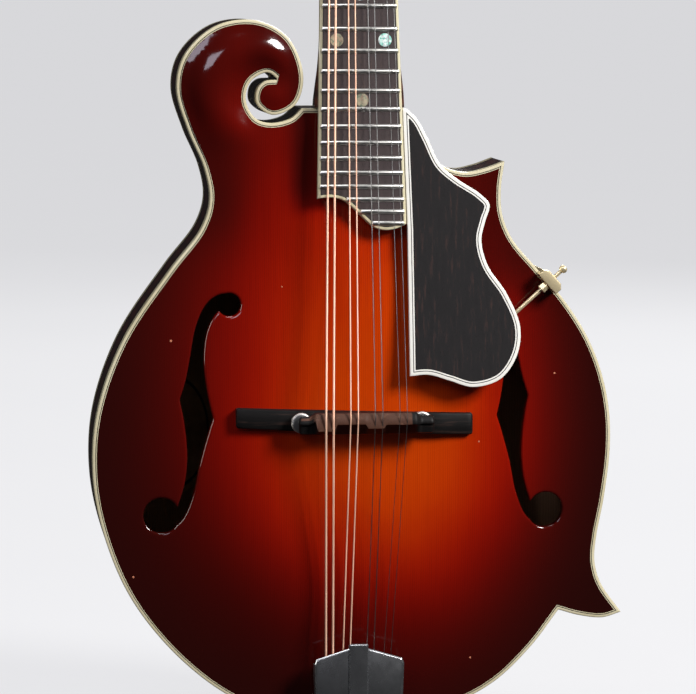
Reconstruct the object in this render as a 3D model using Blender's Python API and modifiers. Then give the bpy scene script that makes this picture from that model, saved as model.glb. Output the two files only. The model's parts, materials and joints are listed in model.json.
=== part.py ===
"""An eight-string mandolin with a scroll and two points, as separate solids in one assembly.

All lengths below are in millimetres, and the helpers turn them into metres. Four frames nest:

- instrument: +Z up the neck, the front facing -Y, and the origin at the strap button's end
- face: x across, y up from the bridge line, z forward from the plane of the top's edge
- neck: y along the strings towards the nut, z out of the frets, origin under the saddle
- head: y from the nut to the peghead's tip, z out of the peghead's face
"""

import math

import bmesh
import bpy
import numpy as np
from mathutils import Euler, Matrix, Vector

MM = 0.001
GAP = 0.3  # air between pieces that touch
SHARP = True

# Driving dimensions
SCALE_LENGTH = 352.4
BODY_DEPTH = 44.5
TAIL_Y = -152.2
STRAP_BUTTON_LENGTH = 11.8
FRET_COUNT = 23
NECK_TILT = math.radians(6.4)
HEAD_TILT = math.radians(15.0)
FRET_PLANE_HEIGHT = 25.0  # above the top's edge, at the bridge line

# Plates, rim and binding
PLATE_EDGE = 4.5
TOP_ARCH = 11.5
BACK_ARCH = 9.5
SCROLL_ARCH = 4.0
EDGE_FLAT = 7.0
ARCH_REACH = 75.0
SCROLL_REACH = 12.0
BINDING_WIDTH = 2.2
BINDING_DEPTH = 6.5
RIM_WIDTH = 2.3
LINING_WIDTH = 5.4
LINING_DEPTH = 12.0
GRID_STEP = 16.0
BAR_ROOM = 2.0  # the plates' flat facets cut below the true arch by less than this
OUTLINE_TOLERANCE = 0.3

# Neck and fretboard
BOARD_THICKNESS = 4.5
FRET_HEIGHT = 1.0
FRET_WIDTH = 1.4
NUT_HALF_WIDTH = 15.1
BOARD_FLARE = 0.02425  # half-width gained per millimetre towards the bridge
BOARD_BINDING = 1.7
NUT_THICKNESS = 3.6
SPINE_X = (7.0, 10.0)  # the frets are joined below the board between these
JOINT_Y = 147.5  # where the neck meets the body, in the face frame

# Bridge
STUD_X = 29.2
BRIDGE_X = -0.8
BASE_TOP = 15.9
SADDLE_LOW = 20.9
SADDLE_HIGH = 27.6
STUD_RADIUS = 1.7
STUD_TOP = 23.2  # leaves the saddle's bores 2 mm to come down
WHEEL_RADIUS = 5.0

# Peghead and tuners
POST_X = 21.0
POST_Y = [42.0, 65.0, 88.0, 111.0]
POST_RADIUS = 3.0
HEAD_WOOD = (-14.3, -2.3)
GEAR_TEETH = 14
GEAR_RADIUS = 5.0
WORM_RADIUS = 2.2
WORM_OFFSET = GEAR_RADIUS + WORM_RADIUS + GAP
WORM_Z = -18.0
SHAFT_RADIUS = 1.3

# Tailpiece
TAIL_PLATE = (4.6, 5.8)
HINGE_Y, HINGE_Z = -150.4, 8.6

# The pickguard's clamp on the rim: its place, and the turn of its outward direction
CLAMP = (91.6, 62.3, math.radians(42.0))
ROD_Z = 6.0

# Strings from bass to treble: name, gauge
STRINGS = [("g1", 1.0), ("g2", 1.0), ("d1", 0.66), ("d2", 0.66),
           ("a1", 0.41), ("a2", 0.41), ("e1", 0.28), ("e2", 0.28)]

# The strings' spacing: from pair to pair, within a pair, and x of the middle
AT_TAIL = (9.2, 3.4, -1.6)
AT_SADDLE = (11.9, 3.6, 0.6)
AT_NUT = (7.4, 2.9, 0.8)
PEG_Y = -129.2

# Outlines in the face frame, bass side at -x
OUTLINE = [
    (22, 147.5, SHARP), (23.5, 139.5), (28.5, 130.5), (35.5, 123.3), (43.5, 118.2), (52.5, 116.2),
    (62, 118), (71.3, 121.3, SHARP), (69.6, 108.5), (70.2, 96), (75.1, 83.8), (87, 69.5),
    (100.4, 54.3), (112, 36.6), (119.4, 18.8), (123.5, 0), (124.2, -19), (121.5, -43),
    (117.6, -64), (116.9, -75), (119.8, -86), (130.2, -101, SHARP), (121, -103.6),
    (109, -102.2), (99, -99.3, SHARP), (85.3, -117.3), (66.6, -134.8), (45, -145.6), (22, -150.9),
    (-2.5, TAIL_Y), (-26, -151), (-48, -145.8), (-68.1, -135.7), (-92.6, -114.4), (-112.9, -86.5),
    (-125.8, -52), (-129.4, -24.7), (-126.7, 2.5), (-114.3, 36.2), (-91.6, 69.8), (-76.3, 89.9),
    (-72.2, 103.4), (-74.6, 118.5), (-82.4, 137), (-87.9, 157.1), (-83.9, 173.3), (-68.6, 187.1),
    (-49.4, 189.6), (-34, 181.3), (-26.8, 162.7), (-30.6, 149.2), (-41.7, 144.3), (-49.4, 149.7),
    (-49.1, 156.9), (-45.5, 160.5), (-38.8, 161.2, SHARP), (-44.1, 164.6), (-52.3, 160.3),
    (-54.6, 151.5), (-49.9, 142.7), (-42.7, 140.4), (-33, 142.5), (-27.5, 147.4, SHARP),
]
CAVITY = [
    (0, 134), (18, 131), (30, 121), (42, 113.5), (55, 110), (64.5, 105), (70.2, 96), (75.1, 83.8),
    (87, 69.5), (100.4, 54.3), (112, 36.6), (119.4, 18.8), (123.5, 0), (124.2, -19), (121.5, -43),
    (117.6, -64), (114.5, -77), (107.5, -89), (97.5, -101.8), (85.3, -117.3), (66.6, -134.8),
    (45, -145.6), (22, -150.9), (-2.5, TAIL_Y), (-26, -151), (-48, -145.8), (-68.1, -135.7),
    (-92.6, -114.4), (-112.9, -86.5), (-125.8, -52), (-129.4, -24.7), (-126.7, 2.5),
    (-114.3, 36.2), (-91.6, 69.8), (-76.3, 89.9), (-71.5, 103.4), (-69, 114), (-59, 125),
    (-42, 132), (-20, 134.5),
]
F_HOLE_STEM = [
    (-64, 56, SHARP), (-70, 57.2), (-75.8, 51.2), (-79.5, 42.1), (-82.5, 26.8), (-84.6, 16.5),
    (-87.4, 7.5, SHARP), (-85.4, -3.1), (-84, -19.1), (-85.3, -33), (-89, -45.5, SHARP),
    (-91.5, -56, SHARP), (-86.1, -50.8), (-81.3, -39.5), (-77.9, -23.8), (-74, -9.7),
    (-71.4, -1.5, SHARP), (-73.9, 10), (-75.6, 26.8), (-73.5, 41.2), (-68.3, 49.8),
    (-64, 51, SHARP),
]
F_HOLE_EYES = [(-63.2, 53.2, 5.7), (-96.3, -49.0, 8.8)]
F_HOLE_MIRROR = -2.4  # x of the line between the two f-holes

# Outlines in the neck frame
BOARD_END = [
    (21.45, 93, SHARP), (16.2, 90.7), (10.5, 90.2), (5.5, 91.8), (1.7, 95.2), (-3.7, 100.5),
    (-8.8, 104.6), (-15, 106), (-21.2, 105.4, SHARP),
]
PICKGUARD = [
    (20.5, 148.4, SHARP), (22.8, 148.2, SHARP), (27.7, 143.1), (32.4, 134.1), (38.5, 121.5),
    (46.5, 114.5), (57.5, 107.3), (62.1, 102), (59.8, 93.7), (57.9, 84.8), (60.8, 72.8),
    (69.9, 59), (76.2, 43), (74.6, 29.5), (66.4, 18), (52.9, 14.2), (41.5, 17.4), (31.5, 20.3),
    (22.4, 19.8, SHARP), (22.1, 90, SHARP),
]

# Outline of the peghead in the head frame
PEGHEAD = [
    (-15.3, 0.6, SHARP), (15.3, 0.6, SHARP), (17.5, 12), (24, 22.5), (32, 31), (34, 43), (32, 70),
    (31.5, 98), (35, 113), (44, 123, SHARP), (32, 127.5), (21, 134), (12, 146), (4, 151, SHARP),
    (3.5, 158), (-5, 166.5), (-18, 167.5), (-29, 159), (-34, 145), (-32.5, 125), (-31.5, 98),
    (-32, 70), (-34, 43), (-32, 31), (-24, 22.5), (-17.5, 12),
]


# Flat curves

def through(control):
    """A closed loop through the control points, with a point each millimetre, creased where SHARP."""
    creases = [i for i, point in enumerate(control) if len(point) == 3]
    places = [np.array(point[:2], float) for point in control]
    if not creases:
        return np.vstack([spline_span(*(places[(i + k) % len(places)] for k in (-1, 0, 1, 2)))
                          for i in range(len(places))])
    spans = []
    for first, last in zip(creases, creases[1:] + [creases[0] + len(places)]):
        run = [places[i % len(places)] for i in range(first, last + 1)]
        run = [2 * run[0] - run[1]] + run + [2 * run[-1] - run[-2]]
        spans += [spline_span(*run[i:i + 4]) for i in range(len(run) - 3)]
    return np.vstack(spans)


def spline_span(before, start, end, after):
    """The points of a centripetal Catmull-Rom span, without its end."""
    knots = np.cumsum([0] + [np.sqrt(np.linalg.norm(b - a))
                             for a, b in ((before, start), (start, end), (end, after))])
    count = max(2, round(np.linalg.norm(end - start)))
    t = np.linspace(knots[1], knots[2], count, endpoint=False)[:, None]

    def between(low, high, a, b):
        return ((knots[high] - t) * a + (t - knots[low]) * b) / (knots[high] - knots[low])

    a, b, c = between(0, 1, before, start), between(1, 2, start, end), between(2, 3, end, after)
    return between(1, 2, between(0, 2, a, b), between(1, 3, b, c))


def to_loop(points, loop):
    """The distance from each point to the nearest stretch of a closed loop."""
    points = np.asarray(points, float)
    starts = np.asarray(loop)
    steps = np.roll(starts, -1, axis=0) - starts
    lengths = np.maximum((steps ** 2).sum(axis=1), 1e-12)
    nearest = []
    for point in points:
        share = np.clip(((point - starts) * steps).sum(axis=1) / lengths, 0, 1)
        nearest.append(np.linalg.norm(starts + share[:, None] * steps - point, axis=1).min())
    return np.array(nearest)


def inside(points, loop):
    """Whether each point is inside a closed loop, by crossings of a ray."""
    a, b = np.asarray(loop), np.roll(loop, -1, axis=0)
    result = []
    for x, y in points:
        crossing = (a[:, 1] > y) != (b[:, 1] > y)
        at = a[crossing, 0] + (y - a[crossing, 1]) / (b - a)[crossing, 1] * (b - a)[crossing, 0]
        result.append((at > x).sum() % 2 == 1)
    return np.array(result)


def inset(loop, distance):
    """The loop moved inwards, with mitred creases and without the stretches that would cross over."""
    ahead = np.roll(loop, -1, axis=0) - loop
    normals = np.stack([-ahead[:, 1], ahead[:, 0]], axis=1)
    normals /= np.linalg.norm(normals, axis=1)[:, None]
    turn = np.sign((loop[:, 0] * np.roll(loop[:, 1], -1) - np.roll(loop[:, 0], -1) * loop[:, 1]).sum())
    before = np.roll(normals, 1, axis=0)
    mitre = normals + before
    mitre /= (mitre * before).sum(axis=1)[:, None]
    moved = loop + turn * distance * mitre
    return moved[to_loop(moved, loop) > 0.98 * distance]


def simplified(loop, tolerance=OUTLINE_TOLERANCE):
    """The loop with the points that its shape doesn't need left out."""
    def keep(points):
        chord = points[-1] - points[0]
        offset = points - points[0]
        length = np.linalg.norm(chord)
        if length < 1e-9:
            away = np.linalg.norm(offset, axis=1)
        else:
            away = np.abs(offset[:, 0] * chord[1] - offset[:, 1] * chord[0]) / length
        far = int(away.argmax())
        if away[far] < tolerance:
            return [points[0]]
        return keep(points[:far + 1]) + keep(points[far:])

    return np.array(keep(np.vstack([loop, loop[:1]])))


def circle(x, y, radius, sides=20):
    """A circle as a closed loop."""
    turns = np.arange(sides) * 2 * math.pi / sides
    return np.stack([x + radius * np.cos(turns), y + radius * np.sin(turns)], axis=1)


def rectangle(x0, x1, y0, y1):
    """A rectangle as a closed loop."""
    return np.array([(x0, y0), (x1, y0), (x1, y1), (x0, y1)], float)


def mirrored(loop, x):
    """The loop reflected in the line at x."""
    return np.array([(2 * x - px, py) for px, py in loop])[::-1]


# Scene helpers

def clear_scene():
    for item in list(bpy.data.objects):
        bpy.data.objects.remove(item)


def collection(name, hidden=False):
    made = bpy.data.collections.new(name)
    made.hide_render = hidden
    bpy.context.scene.collection.children.link(made)
    return made


def frame(name, parent, location=(0, 0, 0), rotation=(0, 0, 0)):
    """An empty that its children are placed in."""
    made = bpy.data.objects.new(name, None)
    made.empty_display_size = 20 * MM
    made.parent = parent
    made.location = Vector(location) * MM
    made.rotation_euler = rotation
    PARTS.objects.link(made)
    return made


def paint(name, colour, roughness, metallic=0.0):
    """A plain surface."""
    made = bpy.data.materials.new(name)
    made.use_nodes = True
    shader = made.node_tree.nodes["Principled BSDF"]
    shader.inputs["Base Color"].default_value = (*colour, 1)
    shader.inputs["Roughness"].default_value = roughness
    shader.inputs["Metallic"].default_value = metallic
    made.diffuse_color = (*colour, 1)
    return made


def place(name, mesh, parent, surface, location=(0, 0, 0), rotation=(0, 0, 0)):
    """A mesh as an object: a part when it has a surface, and otherwise a hidden cutter."""
    made = bpy.data.objects.new(name, mesh)
    made.parent = parent
    made.location = Vector(location) * MM
    made.rotation_euler = rotation
    if surface is None:
        CUTTERS.objects.link(made)
        made.hide_render = True
        made.display_type = "WIRE"
    else:
        PARTS.objects.link(made)
        mesh.materials.clear()
        mesh.materials.append(surface)
    return made


def combine(target, operation, *others):
    """Booleans on the target. The operation is UNION, DIFFERENCE or INTERSECT."""
    for other in others:
        modifier = target.modifiers.new(other.name, "BOOLEAN")
        modifier.operation = operation
        modifier.object = other


def welded(mesh):
    """The mesh with its loose caps joined and its faces pointing out."""
    shape = bmesh.new()
    shape.from_mesh(mesh)
    bmesh.ops.remove_doubles(shape, verts=shape.verts, dist=0.001 * MM)
    bmesh.ops.recalc_face_normals(shape, faces=shape.faces)
    shape.to_mesh(mesh)
    shape.free()
    return mesh


def curve_mesh(curve):
    """The closed mesh of a curve."""
    holder = bpy.data.objects.new("curve_holder", curve)
    bpy.context.scene.collection.objects.link(holder)
    bpy.context.view_layer.update()
    graph = bpy.context.evaluated_depsgraph_get()
    mesh = bpy.data.meshes.new_from_object(holder.evaluated_get(graph))
    bpy.data.objects.remove(holder)
    return welded(mesh)


PLANES = {"XY": (0, 0, 0), "XZ": (math.pi / 2, 0, 0), "YZ": (math.pi / 2, 0, math.pi / 2)}
NORMALS = {"XY": 2, "XZ": 1, "YZ": 0}


def prism(name, loops, low, high, parent, surface=None, plane="XY", at=(0, 0, 0)):
    """A flat shape in one plane of its parent's frame, filled from low to high along the normal."""
    curve = bpy.data.curves.new(name, "CURVE")
    curve.dimensions = "2D"
    curve.fill_mode = "BOTH"
    curve.extrude = (high - low) / 2 * MM
    for loop in loops:
        spline = curve.splines.new("POLY")
        spline.points.add(len(loop) - 1)
        spline.use_cyclic_u = True
        for point, (x, y) in zip(spline.points, loop):
            point.co = (x * MM, y * MM, 0, 1)
    location = list(at)
    location[NORMALS[plane]] += (low + high) / 2
    return place(name, curve_mesh(curve), parent, surface, location, PLANES[plane])


def block(name, low, high, parent, surface=None):
    """A box between two corners of its parent's frame."""
    shape = bmesh.new()
    size = [b - a for a, b in zip(low, high)]
    bmesh.ops.create_cube(shape, size=1, matrix=Matrix.Diagonal((*size, 1)) * MM)
    mesh = bpy.data.meshes.new(name)
    shape.to_mesh(mesh)
    shape.free()
    middle = [(a + b) / 2 for a, b in zip(low, high)]
    return place(name, mesh, parent, surface, middle)


def rod(name, radius, start, end, parent, surface=None, sides=12):
    """A cylinder between two points of its parent's frame."""
    start, end = Vector(start), Vector(end)
    shape = bmesh.new()
    bmesh.ops.create_cone(shape, cap_ends=True, segments=sides, radius1=radius * MM,
                          radius2=radius * MM, depth=(end - start).length * MM)
    mesh = bpy.data.meshes.new(name)
    shape.to_mesh(mesh)
    shape.free()
    turn = (end - start).to_track_quat("Z", "Y").to_euler()
    return place(name, mesh, parent, surface, (start + end) / 2, turn)


def turned(name, profile, parent, surface, location, rotation=(0, 0, 0), sides=16):
    """A profile of (radius, height) pairs, from the top down its outer side, turned about z."""
    mesh = bpy.data.meshes.new(name)
    edges = [(i, i + 1) for i in range(len(profile) - 1)]
    if profile[0][0] > 0:
        edges.append((len(profile) - 1, 0))
    mesh.from_pydata([(r * MM, 0, h * MM) for r, h in profile], edges, [])
    made = place(name, mesh, parent, surface, location, rotation)
    screw = made.modifiers.new("turn", "SCREW")
    screw.steps = sides
    screw.render_steps = sides
    screw.use_merge_vertices = True
    screw.merge_threshold = 0.01 * MM
    return made


def loft(name, rings, parent, surface=None):
    """Sections with the same number of points, bridged in order and capped."""
    shape = bmesh.new()
    loops = [[shape.verts.new(Vector(p) * MM) for p in ring] for ring in rings]
    for first, second in zip(loops, loops[1:]):
        for i in range(len(first)):
            j = (i + 1) % len(first)
            shape.faces.new((first[i], first[j], second[j], second[i]))
    shape.faces.new(loops[0][::-1])
    shape.faces.new(loops[-1])
    bmesh.ops.recalc_face_normals(shape, faces=shape.faces)
    mesh = bpy.data.meshes.new(name)
    shape.to_mesh(mesh)
    shape.free()
    return place(name, mesh, parent, surface)


def wire(name, radius, path, parent, surface):
    """A wire through the points of a path."""
    curve = bpy.data.curves.new(name, "CURVE")
    curve.dimensions = "3D"
    curve.bevel_depth = radius * MM
    curve.bevel_resolution = 0
    curve.use_fill_caps = True
    spline = curve.splines.new("POLY")
    spline.points.add(len(path) - 1)
    for point, place_mm in zip(spline.points, path):
        point.co = (*(Vector(place_mm) * MM), 1)
    return place(name, curve_mesh(curve), parent, surface)


# Shape rules

def fret_distance(number):
    """From the bridge line to a fret, along the strings."""
    return SCALE_LENGTH * 2 ** (-number / 12)


def board_half_width(distance):
    return NUT_HALF_WIDTH + BOARD_FLARE * (SCALE_LENGTH - distance)


def eased(value):
    """A rise from 0 to 1 that starts and ends level."""
    return 0.5 - 0.5 * np.cos(math.pi * np.clip(value, 0, 1))


def arch(points, height):
    """How far a plate stands above its flat edge: one broad arch, and a low ridge along the scroll."""
    points = np.asarray(points, float)
    depth = to_loop(points, BODY_LINE) * inside(points, BODY_LINE) - EDGE_FLAT
    scroll = eased((points[:, 1] - 118) / 30) * (points[:, 0] < -18)
    body = height * eased(depth / ARCH_REACH)
    ridge = SCROLL_ARCH * eased(depth / SCROLL_REACH)
    return (1 - scroll) * body + scroll * ridge


# Body

def arched_plate(name, height, front, outline, surface):
    """A carved plate: a displaced grid, thickened and trimmed to its outline."""
    low, high = BODY_LINE.min(axis=0) - 4, BODY_LINE.max(axis=0) + 4
    cells = np.ceil((high - low) / GRID_STEP).astype(int)
    shape = bmesh.new()
    bmesh.ops.create_grid(shape, x_segments=int(cells[0]), y_segments=int(cells[1]), size=0.5)
    places = [(low + (np.array(v.co[:2]) + 0.5) * (high - low)) for v in shape.verts]
    for vertex, (x, y), rise in zip(shape.verts, places, arch(places, height)):
        vertex.co = Vector((x, y, rise if front else -BODY_DEPTH - rise)) * MM
    mesh = bpy.data.meshes.new(name)
    shape.to_mesh(mesh)
    shape.free()
    plate = place(name, mesh, FACE, surface)
    thicken = plate.modifiers.new("thickness", "SOLIDIFY")
    thicken.thickness = PLATE_EDGE * MM
    thicken.offset = -1 if front else 1
    combine(plate, "INTERSECT", prism(name + "_trim", [outline], -70, 30, FACE))
    return plate


def f_hole_cutters():
    """The stem and two round eyes of each f-hole."""
    stem = simplified(through(F_HOLE_STEM))
    shapes = [stem] + [circle(*eye) for eye in F_HOLE_EYES]
    shapes += [mirrored(shape, F_HOLE_MIRROR) for shape in shapes]
    return [prism(f"f_hole_{i}", [shape], -15, 30, FACE) for i, shape in enumerate(shapes)]


def body():
    plate_line = simplified(inset(BODY_LINE, BINDING_WIDTH + GAP))
    outer = simplified(BODY_LINE)
    top = arched_plate("top_plate", TOP_ARCH, True, plate_line, SPRUCE)
    combine(top, "DIFFERENCE", *f_hole_cutters())
    arched_plate("back_plate", BACK_ARCH, False, plate_line, MAPLE)

    edge = [outer, simplified(inset(BODY_LINE, BINDING_WIDTH))]
    prism("top_binding", edge, -BINDING_DEPTH, 0, FACE, IVORY)
    prism("back_binding", edge, -BODY_DEPTH, BINDING_DEPTH - BODY_DEPTH, FACE, IVORY)
    rim = prism("rim", [outer, simplified(inset(BODY_LINE, RIM_WIDTH))],
                BINDING_DEPTH + GAP - BODY_DEPTH, -BINDING_DEPTH - GAP, FACE, MAPLE)
    combine(rim, "DIFFERENCE", tenon("rim_mortise", GAP), tail_bore("rim_bore"))

    front, rear = -PLATE_EDGE - GAP, PLATE_EDGE + GAP - BODY_DEPTH
    lining = [simplified(inset(CAVITY_LINE, RIM_WIDTH + GAP)),
              simplified(inset(CAVITY_LINE, RIM_WIDTH + GAP + LINING_WIDTH))]
    rim_inside = simplified(inset(BODY_LINE, RIM_WIDTH + GAP))
    within_rim = prism("within_rim", [rim_inside], -60, 10, FACE)
    for name, low in (("top_lining", front - LINING_DEPTH), ("back_lining", rear)):
        made = prism(name, lining, low, low + LINING_DEPTH, FACE, SPRUCE_PLAIN)
        combine(made, "INTERSECT", within_rim)
    blocks(front, rear)
    tone_bars()


def blocks(front, rear):
    """The solid wood in the scroll, the points and the tail, between the two plates."""
    wood_line = simplified(inset(BODY_LINE, RIM_WIDTH + GAP))
    cavity = simplified(inset(CAVITY_LINE, RIM_WIDTH))
    regions = {
        "neck_block": rectangle(-95, 40, 98, 195),
        "upper_point_block": rectangle(41, 80, 88, 125),
        "lower_point_block": rectangle(95, 135, -108, -70),
    }
    for name, region in regions.items():
        made = prism(name, [wood_line], rear, front, FACE, MAPLE_PLAIN)
        combine(made, "INTERSECT", prism(name + "_region", [region], -60, 10, FACE))
        combine(made, "DIFFERENCE", prism(name + "_cavity", [cavity], -60, 10, FACE))
        if name == "neck_block":
            combine(made, "DIFFERENCE", tenon("block_mortise", GAP))

    inner = simplified(inset(CAVITY_LINE, RIM_WIDTH + 2 * GAP + LINING_WIDTH))
    tail = prism("tail_block", [inner], rear, front, FACE, MAPLE_PLAIN)
    between = LINING_DEPTH + GAP
    combine(tail, "UNION", prism("tail_tongue", [wood_line], rear + between, front - between, FACE))
    combine(tail, "INTERSECT", block("tail_region", (-30, -160, -60), (26, -128, 10), FACE))
    combine(tail, "DIFFERENCE", tail_bore("block_bore"))


def tone_bars():
    """Two tapered bars along the inside of the top."""
    for name, x_tail, x_head in (("bass_tone_bar", -29, -17), ("treble_tone_bar", 24, 14)):
        rings = []
        for share in np.linspace(0, 1, 9):
            x, y = x_tail + (x_head - x_tail) * share, -112 + 200 * share
            under = float(arch([(x, y)], TOP_ARCH)[0]) - PLATE_EDGE - BAR_ROOM
            depth = 3 + 10 * math.sin(math.pi * share)
            rings.append([(x - 3, y, under), (x + 3, y, under), (x + 2, y, under - depth),
                          (x - 2, y, under - depth)])
        loft(name, rings, FACE, SPRUCE_PLAIN)


def tenon(name, room):
    """The tongue that holds the neck in its block."""
    return block(name, (-9 - room, 136 - room, -34 - room), (9 + room, 149, -10 + room), FACE)


def tail_bore(name):
    return rod(name, 2.5 + GAP, (0, TAIL_Y - 5, -BODY_DEPTH / 2), (0, -120, -BODY_DEPTH / 2), FACE)


# Neck

def board_bottom(y):
    """The height of the fretboard's underside in the face frame."""
    along = (FRET_PLANE_HEIGHT - y * math.tan(NECK_TILT))
    return along - (FRET_HEIGHT + BOARD_THICKNESS + GAP) / math.cos(NECK_TILT)


def neck_section(y, half_width, depth, fullness):
    """A section of the neck: flat on top, with a rounded back."""
    top = board_bottom(y)
    ring = []
    for turn in np.linspace(0, math.pi, 11):
        across = math.copysign(abs(math.cos(turn)) ** fullness, math.cos(turn))
        ring.append((half_width * across, y, top - depth * math.sin(turn) ** fullness))
    return ring


def neck():
    rings = []
    for y, extra, depth, fullness in ((JOINT_Y + GAP, 1.6, 41.5, 0.72), (151, 1.6, 40, 0.75),
                                      (155, 1.5, 35, 0.8), (160, 1.2, 28, 0.85), (167, 0.6, 21, 0.9),
                                      (178, 0, 17, 0.95), (200, 0, 15.6, 0.95), (345, 0, 13.8, 0.95),
                                      (353, 0, 14, 0.9)):
        rings.append(neck_section(y, board_half_width(y) + extra, depth, fullness))
    made = loft("neck", rings, FACE, NECK_WOOD)
    head = prism("peghead_wood", [HEAD_LINE], *HEAD_WOOD, HEAD)
    root = block("peghead_root", (-15, -4, -14), (15, 3, -3.2), HEAD)
    combine(made, "UNION", head, root, tenon("neck_tenon", 0))
    channel = block("truss_channel", (-3.3, 158, -15), (3.3, 362, -5), NECK)
    pocket = block("truss_pocket", (-5.5, 3, -9), (5.5, 27, 5), HEAD)
    combine(made, "DIFFERENCE", channel, pocket, *post_holes("neck"))

    block("truss_rod", (-2.8, 160, -14.5), (2.8, 350, -6.5), NECK, STEEL)
    overlay = prism("headstock_overlay", [simplified(inset(HEAD_FINE, 1.6))], -2, 0, HEAD, EBONY)
    hole = block("overlay_pocket", (-5.5, 3.5, -9), (5.5, 27, 5), HEAD)
    combine(overlay, "DIFFERENCE", hole, *post_holes("overlay"))
    prism("headstock_binding", [HEAD_LINE, simplified(inset(HEAD_FINE, 1.4))], -2, 0, HEAD, IVORY)
    cover = [(-8, 2.2, SHARP), (8, 2.2, SHARP), (9.5, 14), (6, 24), (0, 32, SHARP), (-6, 24), (-9.5, 14)]
    prism("truss_rod_cover", [simplified(through(cover))], GAP, 2.4, HEAD, EBONY)
    turned("truss_rod_nut", [(2.2, 5), (3.9, 5), (3.9, -5), (2.2, -5)], HEAD, BRASS,
           (0, 13, -4.2), (-math.pi / 2, 0, 0), 6)


def post_holes(label):
    """Clear holes for the eight string posts."""
    return [rod(f"{label}_post_hole_{side}_{i}", POST_RADIUS + 0.5, (side * POST_X, y, -30),
                (side * POST_X, y, 12), HEAD, None, 8)
            for side in (-1, 1) for i, y in enumerate(POST_Y)]


def board_loop(margin):
    """The fretboard's outline, set in by a margin."""
    nut_end = [(side * NUT_HALF_WIDTH, SCALE_LENGTH, SHARP) for side in (-1, 1)]
    whole = through(BOARD_END + nut_end)
    if not margin:
        return simplified(whole, 0.1)
    loop = inset(whole, margin)
    reach = loop[:, 1].max()
    loop[:, 1] = np.where(loop[:, 1] > reach - 0.01, SCALE_LENGTH, loop[:, 1])
    return simplified(loop, 0.1)


def comb(name, room, surface=None):
    """All the frets on one hidden spine: the side view of a comb, drawn across the neck."""
    tang, crown = 0.35 + room, FRET_WIDTH / 2
    low = -BOARD_THICKNESS - FRET_HEIGHT
    spine = (low + 0.1 - 4 * room, low + 1.2 + room)
    last, first = fret_distance(FRET_COUNT) - tang, fret_distance(1) + 2
    loop = [(last, spine[0]), (first, spine[0]), (first, spine[1])]
    for number in range(1, FRET_COUNT + 1):
        y = fret_distance(number)
        loop += [(y + tang, spine[1]), (y + tang, -FRET_HEIGHT + GAP)]
        if not room:
            loop += [(y + crown, -FRET_HEIGHT + GAP), (y + crown * 0.5, 0), (y - crown * 0.5, 0),
                     (y - crown, -FRET_HEIGHT + GAP)]
        loop += [(y - tang, -FRET_HEIGHT + GAP), (y - tang, spine[1])]
    return prism(name, [np.array(loop)], -24, 24, NECK, surface, "YZ")


def fretboard():
    low, high = -FRET_HEIGHT - BOARD_THICKNESS, -FRET_HEIGHT
    board = prism("fretboard", [board_loop(BOARD_BINDING + GAP)], low, high, NECK, EBONY)
    slots = comb("fret_slots", GAP)
    near, far = SPINE_X
    slot_limit = block("slot_limit", (near - GAP, 80, -20), (far + GAP, 360, 20), NECK)
    combine(slots, "INTERSECT", slot_limit)
    combine(board, "DIFFERENCE", slots)
    strip = [board_loop(0), board_loop(BOARD_BINDING)]
    edge = prism("fretboard_binding", strip, low, high, NECK, IVORY)
    combine(edge, "DIFFERENCE", block("nut_end", (-40, SCALE_LENGTH - 4, -20), (40, 370, 20), NECK))

    frets = comb("frets", 0, STEEL)
    combine(frets, "INTERSECT", prism("fret_ends", [board_loop(0.4)], -20, 5, NECK))
    crown_bottom = -FRET_HEIGHT + GAP - 0.1
    for label, start, end in (("bass", -40, near), ("treble", far, 40)):
        under = block(f"under_frets_{label}", (start, 80, -20), (end, 360, crown_bottom), NECK)
        combine(frets, "DIFFERENCE", under)
    block("nut", (-NUT_HALF_WIDTH, SCALE_LENGTH + GAP, -5.3),
          (NUT_HALF_WIDTH, SCALE_LENGTH + NUT_THICKNESS, 0.4), NECK, BONE)


# Strings and tuners

def course_x(index, spread, pair, centre):
    """The place of a string when four pairs share one line."""
    course, second = divmod(index, 2)
    return centre + (course - 1.5) * spread + (second - 0.5) * pair


def strings():
    for index, (name, gauge) in enumerate(STRINGS):
        radius = gauge / 2
        side = -1 if index < 4 else 1
        post_y = POST_Y[index if index < 4 else 7 - index]
        tail = (course_x(index, *AT_TAIL), PEG_Y + 1.2, 9)
        saddle = (course_x(index, *AT_SADDLE), 0, SADDLE_HIGH + GAP + radius)
        nut = (course_x(index, *AT_NUT), SCALE_LENGTH + 1.8, 0.4 + GAP + radius)
        path = [tail, saddle, NECK_TO_FACE @ Vector(nut)]
        wrap = POST_RADIUS + GAP + radius
        for step in range(12):
            turn = math.pi * step / 4
            around = (side * (POST_X - wrap * math.cos(turn)), post_y + wrap * math.sin(turn),
                      4.5 + step * (gauge + GAP) / 8)
            path.append(HEAD_TO_FACE @ Vector(around))
        surface = BRONZE if index < 4 else STEEL
        wire(f"string_{name}", radius, path, FACE, surface)


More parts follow.
